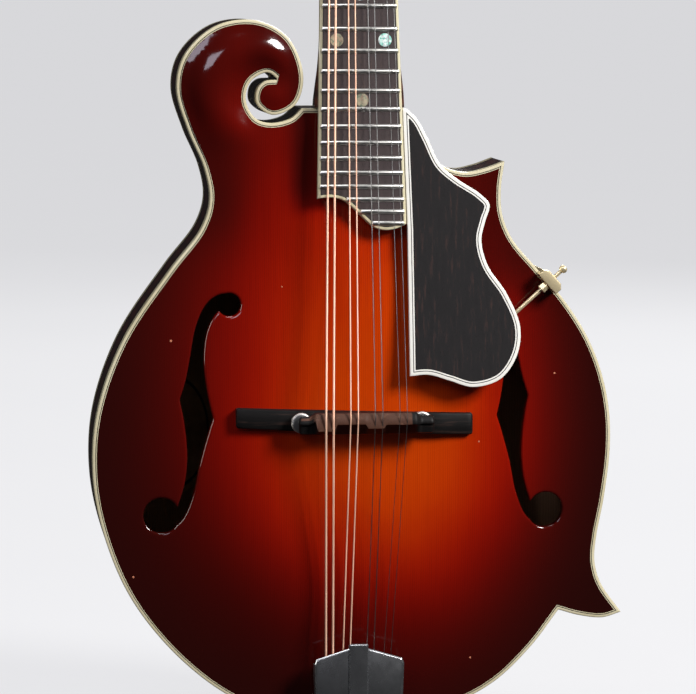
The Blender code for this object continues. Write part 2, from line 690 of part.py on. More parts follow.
def tuners():
    """Eight worm shafts with buttons, the posts they turn, and a plate for each side."""
    for side, label in ((-1, "bass"), (1, "treble")):
        for number, y in enumerate(POST_Y):
            index = number if side < 0 else 7 - number
            name = STRINGS[index][0]
            post = turned(f"post_{name}", [(0, 13), (POST_RADIUS, 12.4), (2.6, 7), (POST_RADIUS, 1.5),
                                           (POST_RADIUS, -15.9), (GEAR_RADIUS, -16.2),
                                           (GEAR_RADIUS, -19.8), (0, -19.8)],
                          HEAD, NICKEL, (side * POST_X, y, 0), sides=GEAR_TEETH)
            string_hole = rod(f"string_hole_{name}", 0.6, (side * POST_X - 5, y, 9.8),
                              (side * POST_X + 5, y, 9.8), HEAD, None, 6)
            combine(post, "DIFFERENCE", string_hole)
            worm = [(0, 8), (SHAFT_RADIUS, 8), (SHAFT_RADIUS, 4), (WORM_RADIUS, 4), (WORM_RADIUS, -4),
                    (SHAFT_RADIUS, -4), (SHAFT_RADIUS, -19.5), (4.4, -21), (6.2, -25), (6.6, -30),
                    (5.6, -33.5), (0, -34.5)]
            key = turned(f"tuner_{name}", worm, HEAD, PEARL,
                         (side * POST_X, y - WORM_OFFSET, WORM_Z), (0, -side * math.pi / 2, 0), 10)
            slab = block(f"button_limit_{name}", (-60, y - WORM_OFFSET - 10, WORM_Z - 3.4),
                         (60, y - WORM_OFFSET + 10, WORM_Z + 3.4), HEAD)
            combine(key, "INTERSECT", slab)
        tuner_plate(side, label)


def tuner_plate(side, label):
    """A plate behind the peghead, with a flange and small lugs that carry the worm shafts."""
    across = sorted((side * 14.0, side * 31.8))
    low, high = POST_Y[0] - 14, POST_Y[-1] + 9
    plate = block(f"tuner_plate_{label}", (across[0], low, -15.8), (across[1], high, -14.6),
                  HEAD, NICKEL)
    for number, (inner, outer) in enumerate(((14.0, 15.4), (30.4, 31.8))):
        edges = sorted((side * inner, side * outer))
        for key, y in enumerate(POST_Y):
            centre = y - WORM_OFFSET
            lug = block(f"lug_{label}_{number}_{key}", (edges[0], centre - 3.2, -21),
                        (edges[1], centre + 3.2, -15.2), HEAD)
            combine(plate, "UNION", lug)
    for number, y in enumerate(POST_Y):
        bore = rod(f"shaft_bore_{label}_{number}", SHAFT_RADIUS + GAP, (side * 8, y - WORM_OFFSET, WORM_Z),
                   (side * 38, y - WORM_OFFSET, WORM_Z), HEAD, None, 8)
        hole = rod(f"plate_hole_{label}_{number}", POST_RADIUS + 0.5, (side * POST_X, y, -30),
                   (side * POST_X, y, 0), HEAD, None, 8)
        combine(plate, "DIFFERENCE", bore, hole)


# Bridge and tailpiece

def bridge():
    left, right = BRIDGE_X - 57.5, BRIDGE_X + 53.5
    inner, outer = STUD_X - 9, STUD_X + 9
    side_view = [(left, 12), (right, 12), (right, 13.6), (right - 9, 14.6), (outer, BASE_TOP),
                 (inner, BASE_TOP), (inner - 5, 17), (5 - inner, 17), (-inner, BASE_TOP),
                 (-outer, BASE_TOP), (left + 9, 14.6), (left, 13.6)]
    base = prism("bridge_base", [np.array(side_view)], -8, 2.6, FACE, EBONY, "XZ")
    for side in (-1, 1):
        stud = rod(f"stud_{side}", STUD_RADIUS, (BRIDGE_X + side * STUD_X, -2.7, 13),
                   (BRIDGE_X + side * STUD_X, -2.7, STUD_TOP), FACE, None, 10)
        combine(base, "UNION", stud)

    carrier = frame("saddle_slide", FACE, (BRIDGE_X, -2.7, SADDLE_LOW))
    height = SADDLE_HIGH - SADDLE_LOW
    plan = through([(-32.5, -3.2), (-31, -4.2, SHARP), (31.5, -4.2, SHARP), (33, -3.2), (33.6, 0),
                    (32.5, 3.6), (30, 4.2, SHARP), (-29, 4.2, SHARP), (-32, 3.4), (-33, 0)])
    saddle = prism("bridge_saddle", [simplified(plan)], 0, height, carrier, EBONY)
    crest = np.array([(-9, -5), (9, -5), (9, height - 2), (3.6, height - 0.3), (2.6, height),
                      (-9, height - 3)])
    combine(saddle, "INTERSECT", prism("saddle_crest", [crest], -40, 40, carrier, None, "YZ"))
    bore_radius = STUD_RADIUS + GAP
    wheel = [(bore_radius, -GAP), (WHEEL_RADIUS - 0.4, -GAP), (WHEEL_RADIUS, -0.7), (WHEEL_RADIUS, -2),
             (WHEEL_RADIUS - 0.4, -2.4), (bore_radius, -2.4)]
    for side, label in ((-1, "bass"), (1, "treble")):
        bore = rod(f"saddle_bore_{label}", bore_radius, (side * STUD_X, 0, -5),
                   (side * STUD_X, 0, 4.6), carrier, None, 10)
        combine(saddle, "DIFFERENCE", bore)
        turned(f"thumbwheel_{label}", wheel, carrier, BRASS, (side * STUD_X, 0, 0), sides=20)


def tailpiece():
    """A bent base with pegs for the strings, and a lid that lifts on a pin."""
    low, high = TAIL_PLATE
    wall = TAIL_Y - GAP
    side_view = [(-119, low), (wall, low), (wall, -31), (wall - 1.2, -31), (wall - 1.2, high),
                 (-119, high)]
    base = prism("tailpiece_base", [np.array(side_view)], -20, 17.4, FACE, NICKEL, "YZ")
    for index, (name, gauge) in enumerate(STRINGS):
        x, y = course_x(index, *AT_TAIL), PEG_Y - gauge / 2
        peg = rod(f"peg_{name}", 0.8, (x, y, high - 0.6), (x, y, 10.5), FACE, None, 8)
        combine(base, "UNION", peg)
    for side, x in ((-1, -17.6), (1, 15.0)):
        ear = block(f"ear_{side}", (x - 0.9, HINGE_Y - 2, high - 0.5),
                    (x + 0.9, HINGE_Y + 2, HINGE_Z + 2), FACE)
        combine(base, "UNION", ear)
    pin_line = [(x, HINGE_Y, HINGE_Z) for x in (-19, 17)]
    ear_bore = rod("ear_bore", 1.0 + GAP, *pin_line, FACE, None, 10)
    combine(base, "DIFFERENCE", tail_bore("base_bore"), ear_bore)

    hinge = frame("cover_hinge", FACE, (-1.3, HINGE_Y, HINGE_Z))
    plan = np.array([(-20.4, -2.5), (20.4, -2.5), (21.6, 20), (21.9, 28.4), (20.9, 30.8), (6.4, 34.8),
                     (5.6, 37.5), (-5.2, 37.5), (-5.6, 34.8), (-20.9, 30.8), (-21.9, 28.4),
                     (-21.6, 20)])
    cover = prism("tailpiece_cover", [plan], -2, 6.4, hinge, NICKEL)
    room = np.array([(-19.4, -6), (19.4, -6), (20.6, 20), (20.6, 60), (-20.6, 60), (-20.6, 20)])
    hollow = prism("cover_hollow", [room], -10, 5.4, hinge)
    pin_hole = rod("cover_bore", 1.0 + GAP, (-25, 0, 0), (25, 0, 0), hinge, None, 10)
    combine(cover, "DIFFERENCE", hollow, pin_hole)
    rod("tailpiece_hinge_pin", 1.0, (-21.5, 0, 0), (21.5, 0, 0), hinge, STEEL, 10)

    shaft = -BODY_DEPTH / 2
    end = TAIL_Y - STRAP_BUTTON_LENGTH
    button = [(0, 27), (2.5, 27), (2.5, 10.1), (4.6, 10), (3.4, 8), (3.8, 5.4), (6.2, 2.8), (6.2, 1.2),
              (5.2, 0), (0, 0)]
    turned("strap_button", button, FACE, IVORY, (0, end, shaft), (-math.pi / 2, 0, 0))


def pickguard():
    """A plate beside the fretboard, held level by a rod and a clamp on the rim."""
    prism("pickguard", [simplified(through(PICKGUARD), 0.12)], -4.6, -1.8, NECK, EBONY)
    x, y, turn = CLAMP
    holder = frame("clamp", FACE, (x, y, 0), (0, 0, turn))
    below = -BODY_DEPTH
    jaw = [(-5.5, 0.7), (-5.5, 2.2), (-3, 9.6), (3.8, 9.6), (5.2, 7), (5.2, below - 2.2),
           (-2, below - 2.2), (-2, below - 0.7), (3.2, below - 0.7), (3.2, 0.7)]
    clamp = prism("pickguard_clamp", [np.array(jaw)], -4.5, 4.5, holder, BRASS, "XZ")
    bore = rod("clamp_bore", 1.0 + GAP, (-12, 0, ROD_Z), (12, 0, ROD_Z), holder, None, 8)
    combine(clamp, "DIFFERENCE", bore)
    arm = rod("pickguard_rod", 1.0, (-31, 0, ROD_Z), (8.4, 0, ROD_Z), holder, BRASS, 8)
    for label, start, end, size in (("ball", -8.2, -5.8, 1.9), ("knob", 5.8, 9.4, 2.3)):
        collar = rod(f"rod_{label}", size, (start, 0, ROD_Z), (end, 0, ROD_Z), holder, None, 10)
        combine(arm, "UNION", collar)
    foot_y = y - 31 * math.sin(turn)
    underside = FRET_PLANE_HEIGHT - foot_y * math.tan(NECK_TILT) - 5.4
    combine(arm, "UNION", block("rod_foot", (-32.5, -2.5, ROD_Z - 1.4), (-28.5, 2.5, underside), holder))


clear_scene()
PARTS = collection("mandolin")
CUTTERS = collection("cutters", hidden=True)

SPRUCE = paint("sunburst_spruce", (0.36, 0.05, 0.012), 0.12)
MAPLE = paint("sunburst_maple", (0.13, 0.02, 0.01), 0.14)
SPRUCE_PLAIN = paint("bare_spruce", (0.72, 0.52, 0.3), 0.6)
MAPLE_PLAIN = paint("bare_maple", (0.66, 0.47, 0.3), 0.6)
NECK_WOOD = paint("stained_neck", (0.16, 0.03, 0.012), 0.2)
EBONY = paint("ebony", (0.02, 0.016, 0.014), 0.4)
IVORY = paint("ivory_binding", (0.8, 0.74, 0.55), 0.3)
BONE = paint("bone", (0.85, 0.81, 0.7), 0.35)
PEARL = paint("pearl_button", (0.85, 0.83, 0.78), 0.2)
NICKEL = paint("nickel", (0.62, 0.61, 0.58), 0.2, 1.0)
STEEL = paint("steel", (0.6, 0.6, 0.6), 0.3, 1.0)
BRASS = paint("gold_plate", (0.83, 0.62, 0.28), 0.25, 1.0)
BRONZE = paint("bronze_wound", (0.72, 0.45, 0.3), 0.35, 1.0)

INSTRUMENT = frame("instrument", None, rotation=(math.pi / 2, 0, 0))
FACE = frame("face", INSTRUMENT, (0, -TAIL_Y + STRAP_BUTTON_LENGTH, BODY_DEPTH / 2))
NECK = frame("neck_axis", FACE, (0, 0, FRET_PLANE_HEIGHT), (-NECK_TILT, 0, 0))
HEAD_ORIGIN = (0, SCALE_LENGTH + NUT_THICKNESS + GAP, -4.0)
HEAD = frame("peghead_axis", NECK, HEAD_ORIGIN, (-HEAD_TILT, 0, 0))
NECK_TO_FACE = Matrix.LocRotScale(Vector((0, 0, FRET_PLANE_HEIGHT)), Euler((-NECK_TILT, 0, 0)), None)
HEAD_TO_FACE = NECK_TO_FACE @ Matrix.LocRotScale(Vector(HEAD_ORIGIN), Euler((-HEAD_TILT, 0, 0)), None)

BODY_LINE = through(OUTLINE)
CAVITY_LINE = through(CAVITY)
HEAD_FINE = through(PEGHEAD)
HEAD_LINE = simplified(HEAD_FINE)

body()
neck()
fretboard()
strings()
tuners()
bridge()
tailpiece()
pickguard()
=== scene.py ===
"""The looks of an eight-string mandolin with a scroll and two points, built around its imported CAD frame.

Shapes are drawn in millimetres, in the frames that the CAD uses, and baked into the frame's metres:

- FACE: x across, y up from the bridge line, z forward from the plane of the top's edge
- NECK: y along the strings towards the nut, z out of the frets, origin under the saddle
- HEAD: y from the nut to the peghead's tip, z out of the peghead's face
"""

import json
import math

import bmesh
import bpy
import numpy as np
from mathutils import Matrix, Vector
from mathutils.geometry import delaunay_2d_cdt

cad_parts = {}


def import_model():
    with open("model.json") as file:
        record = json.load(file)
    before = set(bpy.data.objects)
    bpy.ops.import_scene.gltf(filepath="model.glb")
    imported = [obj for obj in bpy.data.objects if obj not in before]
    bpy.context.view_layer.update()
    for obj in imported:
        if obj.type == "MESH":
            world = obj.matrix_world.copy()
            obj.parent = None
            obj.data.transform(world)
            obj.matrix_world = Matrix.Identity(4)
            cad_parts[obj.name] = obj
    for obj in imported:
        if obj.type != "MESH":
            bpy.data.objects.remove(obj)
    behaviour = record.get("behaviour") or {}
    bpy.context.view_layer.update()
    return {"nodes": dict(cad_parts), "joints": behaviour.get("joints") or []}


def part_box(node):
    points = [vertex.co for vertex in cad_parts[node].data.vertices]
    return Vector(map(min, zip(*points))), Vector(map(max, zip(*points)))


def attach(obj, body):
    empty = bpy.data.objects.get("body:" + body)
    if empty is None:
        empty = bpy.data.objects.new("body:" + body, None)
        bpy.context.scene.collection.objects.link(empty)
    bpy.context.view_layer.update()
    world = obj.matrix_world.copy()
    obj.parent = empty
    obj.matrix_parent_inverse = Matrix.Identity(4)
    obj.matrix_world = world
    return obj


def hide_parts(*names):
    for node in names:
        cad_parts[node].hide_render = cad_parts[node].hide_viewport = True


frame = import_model()

MM = 0.001
SHARP = True

# Driving dimensions, as in the CAD
SCALE_LENGTH = 352.4
BODY_DEPTH = 44.5
TAIL_Y = -152.2
FRET_COUNT = 23
FRET_PLANE_HEIGHT = 25.0
NECK_TILT = math.radians(6.4)
HEAD_TILT = math.radians(15.0)
HEAD_ORIGIN = (0, 356.3, -4.0)
PLATE_THICKNESS = 4.5
TOP_ARCH = 11.5
BACK_ARCH = 9.5
SCROLL_ARCH = 6.6
SCROLL_FLAT = 2.0
EDGE_FLAT = 7.0
ARCH_REACH = 75.0
SCROLL_REACH = 12.0
BINDING_DEPTH = 6.5
BOARD_THICKNESS = 4.5
FRET_HEIGHT = 1.0
NUT_HALF_WIDTH = 15.1
BOARD_FLARE = 0.02425
BOARD_BINDING = 1.7
NUT_THICKNESS = 3.6
STUD_X = 29.2
STUD_TOP = 21.2
BRIDGE_X = -0.8
SADDLE_LOW = 20.9
SADDLE_HIGH = 27.6
POST_X = 21.0
POST_Y = [42.0, 65.0, 88.0, 111.0]
WORM_OFFSET = 7.5
WORM_Z = -18.0
HINGE_PLACE = (-1.3, -150.4, 8.6)
PEG_Y = -129.2
CLAMP = (91.6, 62.3, math.radians(42.0))
ROD_Z = 6.0
STRINGS = [("g1", 1.0), ("g2", 1.0), ("d1", 0.66), ("d2", 0.66),
           ("a1", 0.41), ("a2", 0.41), ("e1", 0.28), ("e2", 0.28)]

# The strings' spacing: from pair to pair, within a pair, and x of the middle
AT_TAIL_PAIR = 3.4
AT_SADDLE = (11.9, 3.6, 0.6)
AT_NUT = (7.4, 2.9, 0.8)

# Outlines in the face frame, bass side at -x
OUTLINE = [
    (22, 147.5, SHARP), (23.5, 139.5), (28.5, 130.5), (35.5, 123.3), (43.5, 118.2), (52.5, 116.2),
    (62, 118), (71.3, 121.3, SHARP), (69.6, 108.5), (70.2, 96), (75.1, 83.8), (87, 69.5),
    (100.4, 54.3), (112, 36.6), (119.4, 18.8), (123.5, 0), (124.2, -19), (121.5, -43),
    (117.6, -64), (116.9, -75), (119.8, -86), (130.2, -101, SHARP), (121, -103.6),
    (109, -102.2), (99, -99.3, SHARP), (85.3, -117.3), (66.6, -134.8), (45, -145.6), (22, -150.9),
    (-2.5, TAIL_Y), (-26, -151), (-48, -145.8), (-68.1, -135.7), (-92.6, -114.4), (-112.9, -86.5),
    (-125.8, -52), (-129.4, -24.7), (-126.7, 2.5), (-114.3, 36.2), (-91.6, 69.8), (-76.3, 89.9),
    (-72.2, 103.4), (-74.6, 118.5), (-82.4, 137), (-87.9, 157.1), (-83.9, 173.3), (-68.6, 187.1),
    (-49.4, 189.6), (-34, 181.3), (-26.8, 162.7), (-30.6, 149.2), (-41.7, 144.3), (-49.4, 149.7),
    (-49.1, 156.9), (-45.5, 160.5), (-38.8, 161.2, SHARP), (-44.1, 164.6), (-52.3, 160.3),
    (-54.6, 151.5), (-49.9, 142.7), (-42.7, 140.4), (-33, 142.5), (-27.5, 147.4, SHARP),
]
F_HOLE_STEM = [
    (-62, 58.7, SHARP), (-67.2, 58.4), (-72, 55.9), (-75.8, 51.2), (-79.5, 42.1), (-82.5, 26.8),
    (-84.6, 16.5), (-87.4, 7.5, SHARP), (-85.4, -3.1), (-84, -19.1), (-85.3, -33), (-89, -45.5, SHARP),
    (-91.5, -56, SHARP), (-86.1, -50.8), (-81.3, -39.5), (-77.9, -23.8), (-74, -9.7),
    (-71.4, -1.5, SHARP), (-73.9, 10), (-75.6, 26.8), (-73.5, 41.2), (-68.3, 49.8),
    (-64, 51, SHARP),
]
F_HOLE_EYES = [(-63.2, 53.2, 5.7), (-96.3, -49.0, 8.8)]
F_HOLE_MIRROR = -2.4  # x of the line between the two f-holes

# Outlines in the neck frame
BOARD_END = [
    (21.45, 93, SHARP), (16.2, 90.7), (10.5, 90.2), (5.5, 91.8), (1.7, 95.2), (-3.7, 100.5),
    (-8.8, 104.6), (-15, 106), (-21.2, 105.4, SHARP),
]
PICKGUARD = [
    (20.5, 148.4, SHARP), (22.8, 148.2, SHARP), (27.7, 143.1), (32.4, 134.1), (38.5, 121.5),
    (46.5, 114.5), (57.5, 107.3), (62.1, 102), (59.8, 93.7), (57.9, 84.8), (60.8, 72.8),
    (69.9, 59), (76.2, 43), (74.6, 29.5), (66.4, 18), (52.9, 14.2), (41.5, 17.4), (31.5, 20.3),
    (22.4, 19.8, SHARP), (22.1, 90, SHARP),
]

# Outline of the peghead in the head frame
PEGHEAD = [
    (-15.3, 0.6, SHARP), (15.3, 0.6, SHARP), (17.5, 12), (24, 22.5), (32, 31), (34, 43), (32, 70),
    (31.5, 98), (35, 113), (44, 123, SHARP), (32, 127.5), (21, 134), (12, 146), (4, 151, SHARP),
    (3.5, 158), (-5, 166.5), (-18, 167.5), (-29, 159), (-34, 145), (-32.5, 125), (-31.5, 98),
    (-32, 70), (-34, 43), (-32, 31), (-24, 22.5), (-17.5, 12),
]

# Frames
PLACES = {joint["name"]: Vector(joint["pos_m"]) for joint in frame["joints"] if "pos_m" in joint}
FRONT_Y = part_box("top_binding")[0].y
BRIDGE_Z = PLACES["bass_thumbwheel"].z + 2.7 * MM
FACE = Matrix.Translation((0, FRONT_Y, BRIDGE_Z)) @ Matrix.Rotation(math.pi / 2, 4, "X") @ Matrix.Scale(MM, 4)
NECK_IN_FACE = Matrix.Translation((0, 0, FRET_PLANE_HEIGHT)) @ Matrix.Rotation(-NECK_TILT, 4, "X")
HEAD_IN_FACE = NECK_IN_FACE @ Matrix.Translation(HEAD_ORIGIN) @ Matrix.Rotation(-HEAD_TILT, 4, "X")
NECK = FACE @ NECK_IN_FACE
HEAD = FACE @ HEAD_IN_FACE
HINGE = FACE @ Matrix.Translation(HINGE_PLACE)
HOLDER = FACE @ Matrix.Translation((*CLAMP[:2], 0)) @ Matrix.Rotation(CLAMP[2], 4, "Z")
ALONG_X = Matrix.Rotation(math.pi / 2, 4, "Y")
ACROSS = Matrix.Rotation(math.pi / 2, 4, "X")
UPRIGHT = Matrix(((0, 0, 1, 0), (1, 0, 0, 0), (0, 1, 0, 0), (0, 0, 0, 1)))  # an outline's x and y as y and z


# Flat curves

OPEN_MITRE = 1.1  # keeps a ring that opens round a sharp corner from running out to a spike
CLOSED_MITRE = 0.15
KEPT_SHARE = 0.98


def spline_span(before, start, end, after):
    """The points of a centripetal Catmull-Rom span, one a millimetre, without its end."""
    knots = np.cumsum([0] + [np.sqrt(np.linalg.norm(b - a))
                             for a, b in ((before, start), (start, end), (end, after))])
    count = max(2, round(np.linalg.norm(end - start)))
    t = np.linspace(knots[1], knots[2], count, endpoint=False)[:, None]

    def between(low, high, a, b):
        return ((knots[high] - t) * a + (t - knots[low]) * b) / (knots[high] - knots[low])

    a, b, c = between(0, 1, before, start), between(1, 2, start, end), between(2, 3, end, after)
    return between(1, 2, between(0, 2, a, b), between(1, 3, b, c))


def run_through(points):
    """An open curve through the points, in any number of dimensions."""
    run = [np.array(point, float) for point in points]
    run = [2 * run[0] - run[1]] + run + [2 * run[-1] - run[-2]]
    spans = [spline_span(*run[i:i + 4]) for i in range(len(run) - 3)]
    return np.vstack(spans + [run[-2][None]])


def through(control):
    """A closed loop through the control points, creased where SHARP."""
    creases = [i for i, point in enumerate(control) if len(point) == 3]
    places = [np.array(point[:2], float) for point in control]
    spans = []
    for first, last in zip(creases, creases[1:] + [creases[0] + len(places)]):
        run = [places[i % len(places)] for i in range(first, last + 1)]
        spans.append(run_through(run)[:-1])
    return np.vstack(spans)


def to_loop(points, loop):
    """The distance from each point to the nearest stretch of a closed loop."""
    starts = np.asarray(loop)
    steps = np.roll(starts, -1, axis=0) - starts
    lengths = np.maximum((steps ** 2).sum(axis=1), 1e-12)
    nearest = []
    for point in np.asarray(points, float):
        share = np.clip(((point - starts) * steps).sum(axis=1) / lengths, 0, 1)
        gap = starts + share[:, None] * steps - point
        nearest.append(math.sqrt((gap ** 2).sum(axis=1).min()))
    return np.array(nearest)


def inside(points, loop):
    """Whether each point is inside a closed loop, by crossings of a ray."""
    a, b = np.asarray(loop), np.roll(loop, -1, axis=0)
    result = []
    for x, y in points:
        crossing = (a[:, 1] > y) != (b[:, 1] > y)
        at = a[crossing, 0] + (y - a[crossing, 1]) / (b - a)[crossing, 1] * (b - a)[crossing, 0]
        result.append((at > x).sum() % 2 == 1)
    return np.array(result)


def moved_in(loop, distance):
    """Each point of the loop moved inwards along its mitre, and whether it kept that distance."""
    ahead = np.roll(loop, -1, axis=0) - loop
    normals = np.stack([-ahead[:, 1], ahead[:, 0]], axis=1)
    normals /= np.maximum(np.linalg.norm(normals, axis=1), 1e-9)[:, None]
    turn = np.sign((loop[:, 0] * np.roll(loop[:, 1], -1) - np.roll(loop[:, 0], -1) * loop[:, 1]).sum())
    before = np.roll(normals, 1, axis=0)
    mitre = normals + before
    opening = (before[:, 0] * normals[:, 1] - before[:, 1] * normals[:, 0]) * turn * np.sign(distance) < 0
    mitre /= np.maximum((mitre * before).sum(axis=1), np.where(opening, OPEN_MITRE, CLOSED_MITRE))[:, None]
    moved = loop + turn * distance * mitre
    return moved, to_loop(moved, loop) > KEPT_SHARE * abs(distance)


def inset(loop, distance):
    """The loop moved inwards, without the points that would cross over."""
    moved, sound = moved_in(loop, distance)
    return moved[sound]


def offset_ring(loop, distance):
    """The loop moved inwards with its count of points kept: one that would cross over joins a neighbour."""
    if not distance:
        return loop
    moved, sound = moved_in(loop, distance)
    good = np.flatnonzero(sound)
    gap = np.abs(good[None] - np.arange(len(loop))[:, None])
    gap = np.minimum(gap, len(loop) - gap)
    return moved[good[gap.argmin(axis=1)]]


def circle(x, y, radius, sides=36):
    """A circle as a closed loop."""
    turns = np.arange(sides) * 2 * math.pi / sides
    return np.stack([x + radius * np.cos(turns), y + radius * np.sin(turns)], axis=1)


def mirrored(loop, x):
    """The loop reflected in the line at x."""
    return np.array([(2 * x - px, py) for px, py in loop])[::-1]


def rounded_box(x0, x1, y0, y1, radius, steps=5):
    """A rectangle with round corners as a closed loop."""
    corners = ((x1 - radius, y1 - radius), (x0 + radius, y1 - radius),
               (x0 + radius, y0 + radius), (x1 - radius, y0 + radius))
    loop = []
    for quarter, (x, y) in enumerate(corners):
        for turn in np.linspace(quarter, quarter + 1, steps) * math.pi / 2:
            loop.append((x + radius * math.cos(turn), y + radius * math.sin(turn)))
    return np.array(loop)


def eased(value):
    """A rise from 0 to 1 that starts and ends level."""
    return 0.5 - 0.5 * np.cos(math.pi * np.clip(value, 0, 1))


BODY_LINE = through(OUTLINE)


# The carved arch, on a grid that plates and fittings share

GRID_STEP = 2.0
GRID_LOW = np.floor(BODY_LINE.min(axis=0)) - 4
GRID_SIZE = np.ceil((BODY_LINE.max(axis=0) + 4 - GRID_LOW) / GRID_STEP).astype(int) + 1
SMOOTHING_PASSES = 60


def grid_points():
    across, up = np.meshgrid(np.arange(GRID_SIZE[0]), np.arange(GRID_SIZE[1]), indexing="ij")
    return np.stack([across.ravel(), up.ravel()], axis=1) * GRID_STEP + GRID_LOW


GRID = grid_points()
GRID_DEPTH = to_loop(GRID, BODY_LINE) * np.where(inside(GRID, BODY_LINE), 1, -1)


def arch_grid(height):
    """Heights of a plate on the grid: a broad arch, and a low ridge along the scroll, both smoothed."""
    depth = GRID_DEPTH - EDGE_FLAT
    scroll = eased((GRID[:, 1] - 118) / 30) * (GRID[:, 0] < -18)
    ridge = SCROLL_ARCH * eased((GRID_DEPTH - SCROLL_FLAT) / SCROLL_REACH)
    raw = (1 - scroll) * height * eased(depth / ARCH_REACH) + scroll * ridge
    raw = raw.reshape(GRID_SIZE)
    hold = (np.clip(GRID_DEPTH / 14, 0, 1) * (1 - 0.8 * scroll)).reshape(GRID_SIZE)
    field = raw.copy()
    for _ in range(SMOOTHING_PASSES):
        near = sum(np.roll(field, step, axis) for axis in (0, 1) for step in (1, -1)) / 4
        field += 0.8 * hold * (near - field)
    return field


TOP_GRID = arch_grid(TOP_ARCH)
BACK_GRID = arch_grid(BACK_ARCH)


def height_at(field, points):
    """Heights between the grid's points."""
    at = (np.asarray(points, float).reshape(-1, 2) - GRID_LOW) / GRID_STEP
    at = np.clip(at, 0, GRID_SIZE - 1.001)
    cell = at.astype(int)
    share = at - cell
    x, y = cell.T
    low = field[x, y] * (1 - share[:, 0]) + field[x + 1, y] * share[:, 0]
    high = field[x, y + 1] * (1 - share[:, 0]) + field[x + 1, y + 1] * share[:, 0]
    return low * (1 - share[:, 1]) + high * share[:, 1]


# Pieces

class Piece:
    """Rings and faces gathered in one frame's millimetres, to become one object."""

    def __init__(self, place=FACE):
        self.place = place
        self.shape = bmesh.new()
        self.uv = self.shape.loops.layers.uv.new("UVMap")

    def rings(self, rings, paint=0, closed=False, caps=True, turn=Matrix()):
        """Closed rings of points joined in order. Paint is a material index, or one for each gap."""
        rows = [[self.shape.verts.new(turn @ Vector(point)) for point in ring] for ring in rings]
        first = np.asarray(rings[0], float)
        along = np.cumsum([0] + list(np.linalg.norm(np.roll(first, -1, axis=0) - first, axis=1)))
        across = [0.0]
        for a, b in zip(rings, rings[1:] + rings[:1]):
            across.append(across[-1] + float(np.linalg.norm(np.subtract(a[0], b[0]))))
        pairs = list(zip(rows, rows[1:])) + ([(rows[-1], rows[0])] if closed else [])
        for k, (a, b) in enumerate(pairs):
            for i in range(len(a)):
                j = (i + 1) % len(a)
                face = self.shape.faces.new((a[i], a[j], b[j], b[i]))
                face.material_index = paint if isinstance(paint, int) else paint[k]
                corners = ((i, k), (i + 1, k), (i + 1, k + 1), (i, k + 1))
                for loop, (u, v) in zip(face.loops, corners):
                    loop[self.uv].uv = (along[u], across[v])
        if caps and not closed:
            ends = (0, len(pairs) - 1)
            for row, end in ((rows[0][::-1], 0), (rows[-1], -1)):
                face = self.shape.faces.new(row)
                face.material_index = paint if isinstance(paint, int) else paint[ends[end]]

    def slab(self, loop, levels, paint=0, turn=Matrix()):
        """A flat outline stacked through (height, inset) levels."""
        stack = []
        for height, distance in levels:
            ring = offset_ring(np.asarray(loop, float), distance)
            stack.append([(x, y, height) for x, y in ring])
        self.rings(stack, paint, turn=turn)

    def band(self, loop, profile, paint=0):
        """A closed cross-section of (inset, height) pairs swept round a loop."""
        stack = []
        for distance, height in profile:
            ring = offset_ring(loop, distance)
            stack.append([(x, y, height) for x, y in ring])
        self.rings(stack, paint, closed=True)

    def lathe(self, profile, turn=Matrix(), sides=32, paint=0, radius=None):
        """A profile of (radius, height) pairs turned about z. The radius may vary round the turn."""
        turns = np.arange(sides) * 2 * math.pi / sides
        share = np.ones(sides) if radius is None else radius(turns)
        stack = []
        for size, height in profile:
            reach = np.maximum(size, 1e-3) * share
            stack.append([(r * math.cos(t), r * math.sin(t), height) for r, t in zip(reach, turns)])
        self.rings(stack, paint, turn=turn)

    def tube(self, path, radius, sides=10, paint=0, turn=Matrix()):
        """A round wire along a path."""
        path = [Vector(point) for point in path]
        ahead = [(b - a).normalized() for a, b in zip(path, path[1:])]
        ahead = [ahead[0]] + [(a + b).normalized() for a, b in zip(ahead, ahead[1:])] + [ahead[-1]]
        side = ahead[0].orthogonal().normalized()
        stack = []
        for point, heading in zip(path, ahead):
            side = (side - heading * side.dot(heading)).normalized()
            other = heading.cross(side)
            stack.append([point + radius * (side * math.cos(t) + other * math.sin(t))
                          for t in np.arange(sides) * 2 * math.pi / sides])
        self.rings(stack, paint, turn=turn)

    def triangles(self, points, faces, paint=0):
        """A ready mesh with UVs from x and y. Paint is a material index, or one for each face."""
        made = [self.shape.verts.new(point) for point in points]
        for k, corners in enumerate(faces):
            face = self.shape.faces.new([made[i] for i in corners])
            face.material_index = paint if isinstance(paint, int) else paint[k]
            for loop, i in zip(face.loops, corners):
                loop[self.uv].uv = points[i][:2]

    def finish(self, name, body, surfaces, stands_for=(), crease=32, shade=None):
        """The object: welded, facing out, smooth up to the crease angle, and riding on its body."""
        bmesh.ops.remove_doubles(self.shape, verts=self.shape.verts, dist=1e-4)
        bmesh.ops.recalc_face_normals(self.shape, faces=self.shape.faces)
        if shade is not None:
            self.shape.verts.ensure_lookup_table()
            values = shade(np.array([vertex.co for vertex in self.shape.verts]))
        self.shape.transform(self.place)
        mesh = bpy.data.meshes.new(name)
        self.shape.to_mesh(mesh)
        self.shape.free()
        if shade is not None:
            attribute = mesh.attributes.new("burst", "FLOAT", "POINT")
            attribute.data.foreach_set("value", values.astype(np.float32))
        for surface in surfaces if isinstance(surfaces, list) else [surfaces]:
            mesh.materials.append(surface)
        mesh.polygons.foreach_set("use_smooth", [True] * len(mesh.polygons))
        mesh.set_sharp_from_angle(angle=math.radians(crease))
        made = bpy.data.objects.new(name, mesh)
        bpy.context.scene.collection.objects.link(made)
        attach(made, body)
        if stands_for:
            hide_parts(*stands_for)
        return made


